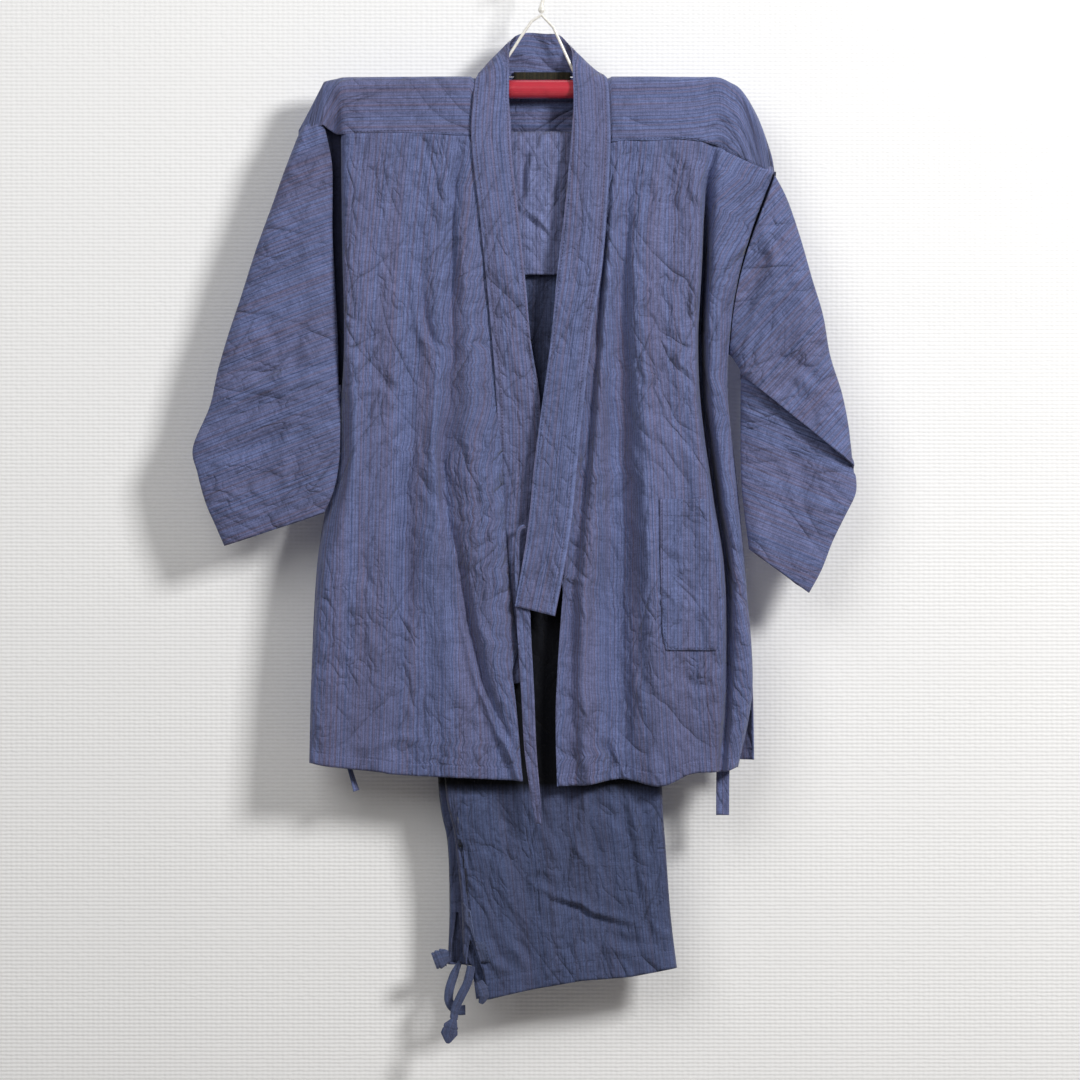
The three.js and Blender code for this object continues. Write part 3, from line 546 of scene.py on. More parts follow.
@dataclass(frozen=True)
class HardFinish:
    """Lacquer or coated wire with small unevenness and faint wear."""

    name: str
    color: Triple
    worn: Triple
    roughness: float
    coat: float
    scale: float
    bump: float

    def make(self) -> bpy.types.Material:
        """Builds the material on Object coordinates."""
        material = bpy.data.materials.new(self.name)
        material.use_nodes = True
        tree = material.node_tree
        shader = tree.nodes["Principled BSDF"]
        shader.inputs["Coat Weight"].default_value = self.coat
        shader.inputs["Coat Roughness"].default_value = 0.08
        place = node(tree, "ShaderNodeTexCoord")
        grain = node(tree, "ShaderNodeTexNoise", Scale=self.scale, Detail=3.0, Roughness=0.55)
        tree.links.new(place.outputs["Object"], grain.inputs["Vector"])
        ramp = node(tree, "ShaderNodeMapRange", **{"From Min": 0.45, "From Max": 0.8})
        tree.links.new(grain.outputs["Fac"], ramp.inputs["Value"])
        mix = tree.nodes.new("ShaderNodeMix")
        mix.data_type = "RGBA"
        mix.inputs[6].default_value, mix.inputs[7].default_value = (*self.color, 1), (*self.worn, 1)
        tree.links.new(ramp.outputs[0], mix.inputs[0])
        tree.links.new(mix.outputs[2], shader.inputs["Base Color"])
        tree.links.new(math_node(tree, "MULTIPLY_ADD", grain.outputs["Fac"], 0.14, self.roughness - 0.05),
                       shader.inputs["Roughness"])
        bump = node(tree, "ShaderNodeBump", Strength=0.6, Distance=self.bump)
        tree.links.new(grain.outputs["Fac"], bump.inputs["Height"])
        tree.links.new(bump.outputs[0], shader.inputs["Normal"])
        return material


JACKET_CLOTH = ClothFinish("jacket_cotton", "jacket_cloth", (0.138, 0.169, 0.333), (0.031, 0.041, 0.106),
                           (0.135, 0.105, 0.162))
# One trouser cloth in three copies: the waist copy is painted lighter as if lit in the neck, and the legs and ties
# copies are painted darker as shade low down.
WAIST_CLOTH_PAINTED_LIGHT = ClothFinish("waist_cotton_painted_light", "trouser_cloth", (0.18, 0.212, 0.4), (0.043, 0.054, 0.137),
                          (0.157, 0.122, 0.18), brownness=0.4)
TROUSER_CLOTH_PAINTED_SHADE = ClothFinish("trouser_cotton_painted_shade", "trouser_cloth", (0.074, 0.096, 0.192), (0.02, 0.028, 0.069),
                            (0.069, 0.056, 0.086), contrast=0.75, brownness=0.35, painted_shade_band=(0.47, 0.826, 0.012))
LEG_TIE_CLOTH_PAINTED_SHADE = ClothFinish("leg_tie_cotton_painted_shade", "trouser_cloth", (0.088, 0.112, 0.21), (0.028, 0.038, 0.085),
                            (0.08, 0.066, 0.098), contrast=0.75, brownness=0.35, wrinkle=0.0012)
THREAD = ClothFinish("thread", "jacket_cloth", (0.05, 0.06, 0.14), (0.035, 0.042, 0.1), (0.06, 0.05, 0.08),
                     contrast=0.4, brownness=0.2)
# A near-black copy of the jacket cloth: painted shade for the deep slit between a sleeve and the body.
SEAM_PAINTED_SHADE = ClothFinish("seam_painted_shade", "jacket_cloth", (0.016, 0.019, 0.045), (0.008, 0.01, 0.024),
                         (0.015, 0.013, 0.022), contrast=0.6, brownness=0.2)
TROUSER_THREAD = ClothFinish("trouser_thread", "trouser_cloth", (0.03, 0.04, 0.085), (0.02, 0.03, 0.06),
                             (0.03, 0.03, 0.045), contrast=0.4, brownness=0.2)
LABEL_TAPE = ClothFinish("label_tape", "label_tape", (0.026, 0.024, 0.015), (0.009, 0.009, 0.007),
                         (0.07, 0.052, 0.024), brownness=0.3, wrinkle=0.0008)
RED_LACQUER = HardFinish("red_lacquer", (0.5, 0.03, 0.05), (0.4, 0.022, 0.04), 0.22, 0.6, 90, 0.00004)
WHITE_WIRE = HardFinish("white_wire", (0.8, 0.78, 0.72), (0.66, 0.63, 0.55), 0.4, 0.2, 300, 0.00003)


def dress(piece: bpy.types.Object, material: bpy.types.Material, slot: str, *nodes: str) -> bpy.types.Object:
    """Gives a piece its finish and lets it ride in place of its CAD nodes.

    Args:
        piece: the finished piece.
        material: its material.
        slot: the record's material slot; not used.
        nodes: the CAD nodes that it stands for.

    Returns:
        The piece.
    """
    piece.data.materials.clear()
    piece.data.materials.append(material)
    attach(piece, "root")
    if nodes:
        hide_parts(*nodes)
    LOG.info("%s: %d points", piece.name, len(piece.data.vertices))
    return piece


# ---------- hanging panels ----------

@dataclass(frozen=True)
class Fold:
    """One fold or edge of a hanging panel: the drop of its top and hem, then its place at each level."""

    name: str
    top: float
    hem: float
    across: tuple[float, ...]
    out: tuple[float, ...]


@dataclass
class Panel:
    """A panel that hangs from the yoke, from its tables of folds and creases."""

    name: str
    levels: tuple[float, ...]
    folds: tuple[Fold, ...]
    creases: tuple[Crease, ...]
    crumple: Crumple
    plumb: str  # the fold that the stripes follow
    away: Triple
    side: float = 1.0  # 1 where the outer face looks out, -1 on the back
    hem_turn: float = 12.5
    spacing: float = 2.4
    tuck: float = 6.0  # how far its top runs up behind the yoke
    ret: float = 4.5  # how far its side seam turns in
    slit: float = 2000.0  # the drop below which the side is open
    lip: float = 0.0  # how far its first edge runs on under the collar
    lip_end: float = 700.0  # the drop at which that ends
    before_trousers: Triple = (-102.0, 142.0, 13.4)  # from here to there a front stands at least so far out
    grid: Array = field(init=False)
    stitch_rows: dict[str, Array] = field(init=False)

    def smooth(self, parts: Array, places: Array) -> Array:
        """The panel's large form at parts of its height and places between its folds."""
        levels = np.array(self.levels, float)
        dense = np.linspace(0, len(levels) - 1, 600)
        drops = (along(levels, dense) - levels[0]) / (levels[-1] - levels[0])
        rows = np.interp(parts, drops, dense)
        across = np.stack([along(f.across, rows) for f in self.folds])
        out = np.stack([along(f.out, rows) for f in self.folds])
        top, hem = (np.array([getattr(f, key) for f in self.folds])[:, None] for key in ("top", "hem"))
        cut = np.stack([across, out, top + parts * (hem - top)], axis=-1)
        return along(cut, places).transpose(1, 0, 2)

    def build(self) -> bpy.types.Object:
        """Builds the panel with its hem, seam returns and wrinkles."""
        last = len(self.folds) - 1
        places = even(lambda k: self.smooth(np.array([0.6]), k)[0], last, self.spacing)
        height = np.mean([f.hem - f.top for f in self.folds])
        hem = 1 - self.hem_turn / height
        fine = 1.1 / height
        steps = np.linspace(0, 1, int(height / self.spacing))
        parts = np.unique(np.concatenate([steps, hem + fine * np.array([-2, -1, 0, 1, 2])]))
        grid = self.smooth(parts, places)
        x, y = grid[..., 0], grid[..., 2]
        lift = self.crumple.lift(x, y) + sum(c.lift(x, y) for c in self.creases)
        beside = soft_step(np.minimum(places, last - places), -0.1, 0.35)
        edge = np.minimum.outer(soft_step(parts, -0.02, 0.03), beside) * 0.85 + 0.15
        groove = -0.45 * np.exp(-((parts - hem) / fine / 0.8) ** 2) + 0.35 * (parts > hem)
        grid[..., 1] += self.side * (lift * edge + groove[:, None])
        if self.side > 0:
            begin, end, least = self.before_trousers
            grid[..., 1] = np.where((x > begin) & (x < end), np.maximum(grid[..., 1], least), grid[..., 1])
        grid[-1, :, 1] -= self.side * 0.5
        self.stitch_rows = {"hem": grid[np.argmin(np.abs(parts - hem))] + (0, self.side * 0.25, 0)}
        self.grid = grid
        return self.shell(grid)

    def shell(self, grid: Array) -> bpy.types.Object:
        """Adds the turned-in edges and makes the mesh."""
        plumb = next(n for n, fold in enumerate(self.folds) if fold.name == self.plumb)
        k = int(np.argmin(np.abs(np.linspace(0, len(self.folds) - 1, grid.shape[1]) - plumb)))
        across = lengths(grid, axis=1)
        down = lengths(grid, axis=0)
        uv = np.stack([across - across[:, k:k + 1], down + grid[0, :, 2][None]], axis=-1) * MM
        if self.tuck:
            top = grid[:1] + (0, -2.2 * self.side, -self.tuck)
            lip = grid[:1] + (0, -1.2 * self.side, -0.6)
            grid = np.concatenate([top, lip, grid])
            uv = np.concatenate([uv[:1] - (0, self.tuck * MM), uv[:1] - (0, 0.6 * MM), uv])
        if self.lip:
            reach = soft_step(-grid[:, :1, 2], -self.lip_end, 30 - self.lip_end)[..., None]
            inward = -np.sign(grid[:, :1, :1])
            shift = [inward * (0.1 + self.lip * reach), -0.1 - 2.4 * reach, 0 * inward]
            first = grid[:, :1] + np.concatenate(shift, axis=-1)
            grid = np.concatenate([first, grid], axis=1)
            uv = np.concatenate([uv[:, :1] - (self.lip * MM, 0), uv], axis=1)
        if self.ret:
            turn = soft_step(-grid[:, -1:, 2], -self.slit - 10, -self.slit + 10)[..., None]
            inward = -np.sign(grid[:, -1:, :1])
            shift = [inward * 2.0, -self.side * self.ret + 0 * inward, 0 * inward]
            last = grid[:, -1:] + turn * np.concatenate(shift, axis=-1)
            grid = np.concatenate([grid, last], axis=1)
            uv = np.concatenate([uv, uv[:, -1:] + (self.ret * MM, 0)], axis=1)
        return cloth(self.name, grid, uv, self.away)

    def out_at(self, across: Array, drop: Array) -> Array:
        """How far out the finished panel stands at places on it."""
        drops = self.grid[:, self.grid.shape[1] // 2, 2]
        order = np.argsort(self.grid[..., 0], axis=1)
        row = np.clip(np.searchsorted(drops, drop) - 1, 0, len(drops) - 2)
        t = np.clip((drop - drops[row]) / (drops[row + 1] - drops[row]), 0, 1)
        read = lambda r, x: np.interp(x, self.grid[r, order[r], 0], self.grid[r, order[r], 1])
        places = zip(row.ravel(), t.ravel(), across.ravel())
        return np.array([(1 - w) * read(r, x) + w * read(r + 1, x) for r, w, x in places]).reshape(across.shape)


BODY_LEVELS = (164, 270, 385, 500, 600, 720, 806)
FRONT_RIGHT_FOLDS = (
    Fold("collar seam", 166, 811, (-65, -57, -48.5, -46, -40, -25, -17), (16, 19, 20, 22.5, 26, 26, 25)),
    Fold("turned edge", 166.5, 811, (-69, -62, -53, -50, -44, -28, -19), (16.5, 20.5, 22, 27, 30, 30, 28)),
    Fold("band beside", 166, 810.5, (-74, -74, -70, -72, -66, -45, -22), (17, 23, 25, 28, 30, 30, 28.5)),
    Fold("long valley", 165.6, 810, (-79, -90, -88, -94, -84, -60, -29), (16.5, 18, 18, 18, 19, 20, 24)),
    Fold("long ridge", 165.4, 809, (-88, -100, -100, -107, -100, -82, -50), (17.5, 23, 25, 27, 28, 28, 27)),
    Fold("soft valley", 163.7, 805, (-110, -120, -128, -134, -136, -137, -140), (17, 20, 20, 19, 19, 21, 22)),
    Fold("soft ridge", 163, 802, (-130, -140, -148, -152, -154, -157, -160), (18, 24, 26, 28, 28, 28, 27)),
    Fold("chest", 162.7, 799, (-155, -165, -172, -175, -180, -187, -190), (17.5, 22, 24, 25, 25, 25, 24)),
    Fold("arm ridge", 163.3, 796, (-180, -185, -187, -188, -203, -212, -215), (17.5, 25, 27, 26, 28, 29, 28)),
    Fold("fold edge", 163.8, 793, (-194, -196, -195, -197, -216, -226, -229), (15, 20, 22, 12, 20, 23, 24)),
    Fold("fold wall", 166, 793, (-199, -198, -196.5, -205, -221.5, -228.5, -231), (7, 8, 10, 4, 8, 10, 12)),
    Fold("side seam", 170, 793, (-200, -199, -197, -208, -223, -229, -231), (-3, -4, -4, -5, -4, -3, -2)),
)
FRONT_LEFT_FOLDS = (
    Fold("collar seam", 173, 816, (65, 59, 50, 35, 24, 16, 17), (16, 21, 24, 27, 29, 29, 28)),
    Fold("first valley", 172.5, 815.5, (72, 64, 56, 45, 34, 31, 35), (16, 20, 20, 20, 21, 21, 22)),
    Fold("first ridge", 170.5, 814.5, (82, 71, 63, 56, 48, 46, 50), (18, 27, 29, 31, 32, 32, 30)),
    Fold("dark valley", 170, 809, (92, 85, 82, 82, 78, 78, 82), (16, 17, 14, 13, 13, 15, 18)),
    Fold("great ridge", 171, 816, (110, 97, 100, 106, 109, 113, 120), (18, 28, 32, 35, 36, 35, 32)),
    Fold("pocket plain", 169.5, 804, (135, 130, 132, 139, 143, 147, 150), (18, 26, 29, 32, 33, 32, 30)),
    Fold("fold lip", 172, 802, (160, 159, 155, 165, 178, 178, 173), (18, 28, 31, 33, 34, 33, 30)),
    Fold("deep fold", 175, 801.5, (172, 165, 161.5, 173, 187, 187, 181), (12, 1, -2, -2, 4, 14, 20)),
    Fold("side lip", 180, 801, (183, 173, 168.5, 181, 193, 194, 187), (15, 19, 19, 21, 23, 26, 28)),
    Fold("side strip", 190, 798.5, (205, 186, 178.5, 190, 200, 205, 193), (15, 19, 20, 22, 26, 28, 28)),
    Fold("side edge", 201, 796.6, (231, 199.5, 187, 196, 205, 212, 197.5), (10, 13, 14, 16, 19, 20, 22)),
    Fold("side seam", 203, 796.6, (233, 200.5, 188, 197, 206, 213, 198.5), (1, 0, 0, 1, 2, 6, 10)),
)
BACK_FOLDS = (
    Fold("right side seam", 172, 793, (-203, -201, -199, -209, -224, -230, -232), (-8, -9, -9, -10, -9, -8, -7)),
    Fold("right side", 172, 792, (-190, -190, -190, -196, -208, -214, -216), (-14, -17, -19, -19, -18, -17, -16)),
    Fold("right ridge", 172, 791, (-140, -142, -145, -148, -150, -154, -158), (-17, -25, -28, -28, -27, -26, -25)),
    Fold("right valley", 172, 790, (-96, -96, -98, -102, -104, -106, -108), (-15, -18, -19, -20, -20, -20, -20)),
    Fold("mid ridge", 172, 790, (-30, -30, -32, -34, -34, -32, -30), (-17, -26, -29, -30, -29, -28, -27)),
    Fold("mid valley", 172, 790, (34, 34, 36, 38, 40, 42, 44), (-16, -20, -21, -22, -22, -22, -22)),
    Fold("left ridge", 173, 790, (96, 94, 94, 98, 104, 110, 112), (-17, -26, -29, -30, -29, -28, -27)),
    Fold("left valley", 176, 790, (150, 142, 138, 144, 152, 160, 164), (-15, -17, -18, -18, -18, -18, -18)),
    Fold("left side", 190, 790.4, (205, 181, 174, 184, 192, 200, 204), (-11, -14, -15, -15, -14, -12, -8)),
    Fold("left side seam", 203, 790.6, (232.5, 200.7, 188.4, 198, 206.5, 213.5, 215), (-5, -5, -5, -5, -4, -2, 0)),
)
FRONT_RIGHT_CREASES = (
    Crease(((-83, 172), (-87, 230), (-88, 330), (-87, 390), (-92, 408), (-89, 440)), -3.4, 2.6, Profile.CRISP),
    Crease(((-99, 540), (-85, 586), (-73, 658), (-60, 710), (-40, 760), (-20, 797)), 4.0, 4.0, Profile.STEP),
    Crease(((-100, 430), (-104, 480), (-99, 540)), 2.6, 4.0, Profile.STEP),
    Crease(((-186, 790), (-182, 700), (-186, 600)), 1.6, 8),
    Crease(((-122, 640), (-118, 700), (-122, 760)), 1.8, 7, Profile.STEP),
    Crease(((-160, 560), (-168, 640), (-165, 730)), 1.5, 9),
    Crease(((-123, 298), (-122, 319), (-118, 354), (-105, 388), (-100, 398)), 2.4, 4, Profile.STEP),
    Crease(((-140, 490), (-137, 526), (-138, 548)), -1.6, 3, Profile.CRISP),
    Crease(((-125, 452), (-128.5, 498), (-137, 526)), -1.6, 3, Profile.CRISP),
    Crease(((-137, 530), (-133, 600), (-138, 672)), -3, 9),
    Crease(((-152, 482), (-145, 476), (-138, 484)), 1.2, 3, Profile.CRISP),
    Crease(((-150, 466), (-146, 480), (-149, 494)), 1.1, 3, Profile.CRISP),
    Crease(((-79, 262), (-77, 303), (-71, 335)), 1.4, 2.2, Profile.CRISP),
    Crease(((-109, 205), (-105, 227)), 1.0, 3, Profile.STEP),
    Crease(((-196, 770), (-170, 778), (-140, 766), (-104, 774)), 1.3, 5),
    Crease(((-180, 420), (-160, 412), (-148, 424)), 1.0, 4, Profile.STEP),
    Crease(((-185, 600), (-170, 620), (-172, 650)), 1.2, 6, Profile.STEP),
    Crease(((-60, 560), (-52, 610), (-44, 650)), 1.0, 4, Profile.STEP),
)
FRONT_LEFT_CREASES = (
    Crease(((174, 180), (166, 215), (165, 300), (161, 360), (162, 436), (168, 475), (176, 513), (178, 542),
            (187, 590), (191, 625)), -9, 3.6),
    Crease(((56, 336), (58, 367), (65, 392), (70, 436), (74, 484)), -1.7, 4.2),
    Crease(((80, 330), (76, 430), (72, 540), (72, 650), (80, 760)), -2.6, 8),
    Crease(((104, 420), (108, 540), (112, 660), (118, 770)), 2.0, 8),
    Crease(((57, 772), (68, 785), (84, 774)), 1.6, 4, Profile.STEP),
    Crease(((150, 180), (158, 205), (164, 240)), 1.4, 5, Profile.STEP),
    Crease(((120, 186), (126, 230), (122, 268)), 1.3, 6, Profile.STEP),
    Crease(((96, 700), (108, 728), (104, 760)), 1.5, 6, Profile.STEP),
    Crease(((135, 708), (160, 722), (176, 716)), 1.2, 5, Profile.STEP),
    Crease(((42, 600), (50, 640), (46, 690)), 1.4, 6, Profile.STEP),
    Crease(((92, 470), (100, 500), (112, 512)), 1.2, 5, Profile.STEP),
    Crease(((140, 330), (146, 390), (142, 440)), 1.4, 7, Profile.STEP),
)
BACK_CREASES = (
    Crease(((-120, 300), (-118, 380), (-112, 430)), 1.8, 6, Profile.STEP),
    Crease(((60, 250), (70, 320), (64, 380)), 1.8, 6, Profile.STEP),
    Crease(((-60, 560), (-40, 600), (-46, 660)), 1.6, 6, Profile.STEP),
    Crease(((120, 600), (112, 660), (124, 720)), 1.6, 6, Profile.STEP),
    Crease(((-180, 520), (-160, 560), (-166, 620)), 1.6, 6, Profile.STEP),
)


# ---------- the jacket ----------

@dataclass(frozen=True)
class YokeColumn:
    """A column of the yoke: its crest over the rod, its front seam and its back seam."""

    across: float
    crest: float
    back: float
    front: float
    out: float
    neck: bool = False
    over_rod: float = 12.4  # how far it stands from the middle of the rod
    sharp: bool = False  # a pressed fold


YOKE_COLUMNS = (
    YokeColumn(-242.5, 159, 162, 165.5, 3),
    YokeColumn(-230.5, 136.5, 157, 160, 10),
    YokeColumn(-217, 110.2, 152, 154, 14, sharp=True),
    YokeColumn(-212, 108.6, 158, 158, 6),
    YokeColumn(-204, 107, 168, 163, 4),
    YokeColumn(-197, 105.4, 171, 163.4, 14),
    YokeColumn(-180, 105.2, 171.6, 162.9, 17.5),
    YokeColumn(-155, 105, 171.6, 162.3, 17.5),
    YokeColumn(-130, 104.8, 171.6, 162.6, 18),
    YokeColumn(-110, 104.6, 171.6, 163.1, 17),
    YokeColumn(-88, 104.5, 171.6, 164.6, 17.5),
    YokeColumn(-70, 104.5, 171.6, 165.6, 16.5, sharp=True),
    YokeColumn(-66.5, 106.4, 171.6, 165.6, 14, over_rod=10.9),
    YokeColumn(-59, 106.4, 171.6, 165.6, 13, over_rod=10.9),
    YokeColumn(-57.6, 104, 171.6, 165.6, 16.5, True),
    YokeColumn(-45, 104, 171.6, 165.6, 16.5, True),
    YokeColumn(-15, 104, 171.6, 165.6, 16.5, True),
    YokeColumn(15, 104, 171.6, 172.1, 16, True),
    YokeColumn(45, 104, 171.6, 172.1, 16, True),
    YokeColumn(59.6, 104, 171.6, 172.1, 16, True),
    YokeColumn(61, 106.4, 171.6, 172.1, 12.5, over_rod=10.9),
    YokeColumn(68.5, 106.4, 171.6, 172.1, 13.5, over_rod=10.9),
    YokeColumn(72, 104.6, 171.6, 172.1, 16, sharp=True),
    YokeColumn(82, 104.6, 171.6, 170.1, 18),
    YokeColumn(92, 104.6, 171.7, 169.6, 16.5),
    YokeColumn(110, 104.6, 172.4, 170.6, 18),
    YokeColumn(135, 104.9, 173.6, 168.9, 18),
    YokeColumn(160, 105.1, 176.2, 171, 17.5),
    YokeColumn(178, 105.4, 180, 175.7, 13.5),
    YokeColumn(190, 110, 183.6, 182.6, 15.3),
    YokeColumn(203, 119, 188.2, 188.4, 15),
    YokeColumn(219, 146, 195.2, 195.8, 12.5),
    YokeColumn(232, 182, 201, 201.2, 7),
    YokeColumn(235.2, 199.5, 203.2, 203.6, 1),
)


@dataclass
class Yoke:
    """The shoulder piece over the rod, whole at the back and cut for the neck at the front."""

    back_out: float = -16.0
    over: tuple[tuple[float, float], ...] = ((-1, 1), (-0.72, 0.3), (0, 0), (0.72, 0.3), (1, 1))
    neck_row: int = 2
    spacing: float = 2.4
    grid: Array = field(init=False)

    def column(self, c: YokeColumn) -> Array:
        """The points of one column, from the back seam over the rod to the front seam."""
        reach = min(c.over_rod, (c.front - c.crest) * 0.36, (c.back - c.crest) * 0.36)
        behind = max(self.back_out, -reach - 5)
        over = [(o * reach, c.crest + d * reach) for o, d in self.over]
        low = ((behind - reach) / 2, (c.back + c.crest + reach) / 2)
        if c.neck:
            over[0], low = (self.back_out + 1.4, c.crest - 1.5), (self.back_out, 140)
        last = ((reach + c.out) / 2, (c.crest + reach + c.front) / 2)
        return np.array([(c.across, o, d) for o, d in [(behind, c.back), low, *over, last, (c.out, c.front)]])

    def build(self) -> bpy.types.Object:
        """Builds the yoke as one fine shell with its neck left open."""
        coarse = np.stack([self.column(c) for c in YOKE_COLUMNS])
        blocks, open_cells, start = [], [], 0
        for n in range(1, len(YOKE_COLUMNS) + 1):
            sharp = n < len(YOKE_COLUMNS) and YOKE_COLUMNS[n].sharp
            joined = n < len(YOKE_COLUMNS) and YOKE_COLUMNS[n].neck == YOKE_COLUMNS[n - 1].neck
            if joined and not sharp:
                continue
            block = coarse[start:n + sharp]
            places = even(lambda k: along(block[:, 5], k), len(block) - 1, self.spacing)
            places = places[:-1] if sharp else places  # the next block starts with the pressed fold
            open_cells += [YOKE_COLUMNS[start].neck] * len(places)
            blocks.append(along(block, places))
            start = n
        fine = np.concatenate(blocks)
        last = coarse.shape[1] - 1
        rows = even(lambda k: along(fine[len(fine) // 3], k), last, self.spacing)
        grid = along(fine.transpose(1, 0, 2), rows)
        x, run = grid[..., 0], lengths(grid, axis=0)
        lift = Crumple(31, height=0.8, stretch=0.7, creases=26).lift(x, run)
        side = np.sin(np.clip(rows / 2 - 1, -1, 1) * np.pi / 2)[:, None]
        grid[..., 1] += lift * side * soft_step(np.minimum(rows, last - rows), 0, 1)[:, None]
        self.grid = grid
        uv = np.stack([run, x], axis=-1) * MM
        opened = np.array(open_cells)
        keep = lambda i, j: ~((opened[j] | opened[j + 1]) & (rows[i + 1] > self.neck_row + 0.02))
        return cloth("yoke_cloth", grid, uv, (0, 0, 150), keep=keep)


@dataclass(frozen=True)
class Ring:
    """A ring of a sleeve: the outer and inner end of its front line, and how far out its front and back are."""

    outer: tuple[float, float]
    inner: tuple[float, float]
    front: float
    back: float
    tuck: float = 0.0
    bow: float = 0.0


SLEEVE_RIGHT_RINGS = (
    Ring((-238.5, 156), (-218, 145), 8, -6), Ring((-243.5, 166), (-216.5, 153), 12.4, -8),
    Ring((-257, 201), (-209, 190), 15, -9),
    Ring((-268, 232), (-208, 222), 17, -9), Ring((-285, 279), (-208, 262), 18, -8),
    Ring((-301, 329), (-206, 303), 17, -8), Ring((-312, 362), (-204, 340), 19, -6),
    Ring((-323, 400), (-202.5, 372), 19, -4), Ring((-331, 436), (-202, 405), 20, -1),
    Ring((-347.6, 477), (-200, 437), 21, 4), Ring((-343, 503), (-200, 463), 22, 7),
    Ring((-335, 532), (-201, 491), 23, 9), Ring((-326, 553), (-206, 519), 23, 10),
    Ring((-316, 576), (-216, 543), 22, 8),
)
SLEEVE_LEFT_RINGS = (
    Ring((235.8, 204.3), (189.8, 384), 14, -6, bow=9.4), Ring((248, 228), (192, 386), 17, -8, bow=9),
    Ring((261, 266), (193.5, 388), 20, -9, bow=7.5), Ring((273, 308), (195, 390.5), 22, -9, bow=5),
    Ring((284, 345), (196.5, 393), 23, -9, bow=2), Ring((291, 385), (198, 395.5), 25, -9),
    Ring((303, 424), (199.5, 398), 27, -8), Ring((310, 461), (200.5, 401), 28, -8),
    Ring((313.8, 496), (201.2, 404), 28, -8), Ring((314.2, 498), (201.5, 408), 17, -8, tuck=15),
    Ring((315, 502), (201, 428), 15.5, -7), Ring((317, 507), (201, 455), 16, -6),
    Ring((316.4, 524), (201, 485), 17, -3), Ring((305, 547.5), (202, 518), 19, 0),
    Ring((293.4, 571), (205, 546), 20, 3), Ring((282, 600), (207.5, 566), 21, 5),
    Ring((269.5, 623), (209, 579), 20, 5),
)
SLEEVE_RIGHT_CREASES = (
    Crease(((-214, 200), (-222, 260), (-216, 330)), -2.4, 6),
    Crease(((-300, 420), (-262, 404), (-226, 398)), 2.0, 8, Profile.STEP),
    Crease(((-318, 470), (-280, 446), (-238, 440)), 2.2, 9, Profile.STEP),
    Crease(((-330, 490), (-290, 486), (-250, 470)), 1.6, 7, Profile.STEP),
    Crease(((-240, 330), (-252, 380), (-246, 430)), 1.6, 7, Profile.STEP),
    Crease(((-290, 350), (-270, 372), (-262, 402)), 1.4, 6, Profile.STEP),
    Crease(((-240, 450), (-252, 490), (-246, 530)), 1.6, 6, Profile.STEP),
)
SLEEVE_LEFT_CREASES = (
    Crease(((198, 380), (214, 330), (236, 270)), 2.2, 7, Profile.STEP),
    Crease(((204, 386), (232, 350), (262, 330)), 2.0, 7, Profile.STEP),
    Crease(((216, 400), (250, 394), (284, 420)), 1.8, 6, Profile.STEP),
    Crease(((226, 250), (240, 290), (238, 330)), 1.6, 5, Profile.STEP),
    Crease(((262, 300), (272, 340), (268, 380)), 1.6, 6, Profile.STEP),
    Crease(((230, 470), (256, 500), (262, 540)), 1.6, 6, Profile.STEP),
    Crease(((288, 520), (280, 550), (262, 574)), 1.5, 6, Profile.STEP),
)


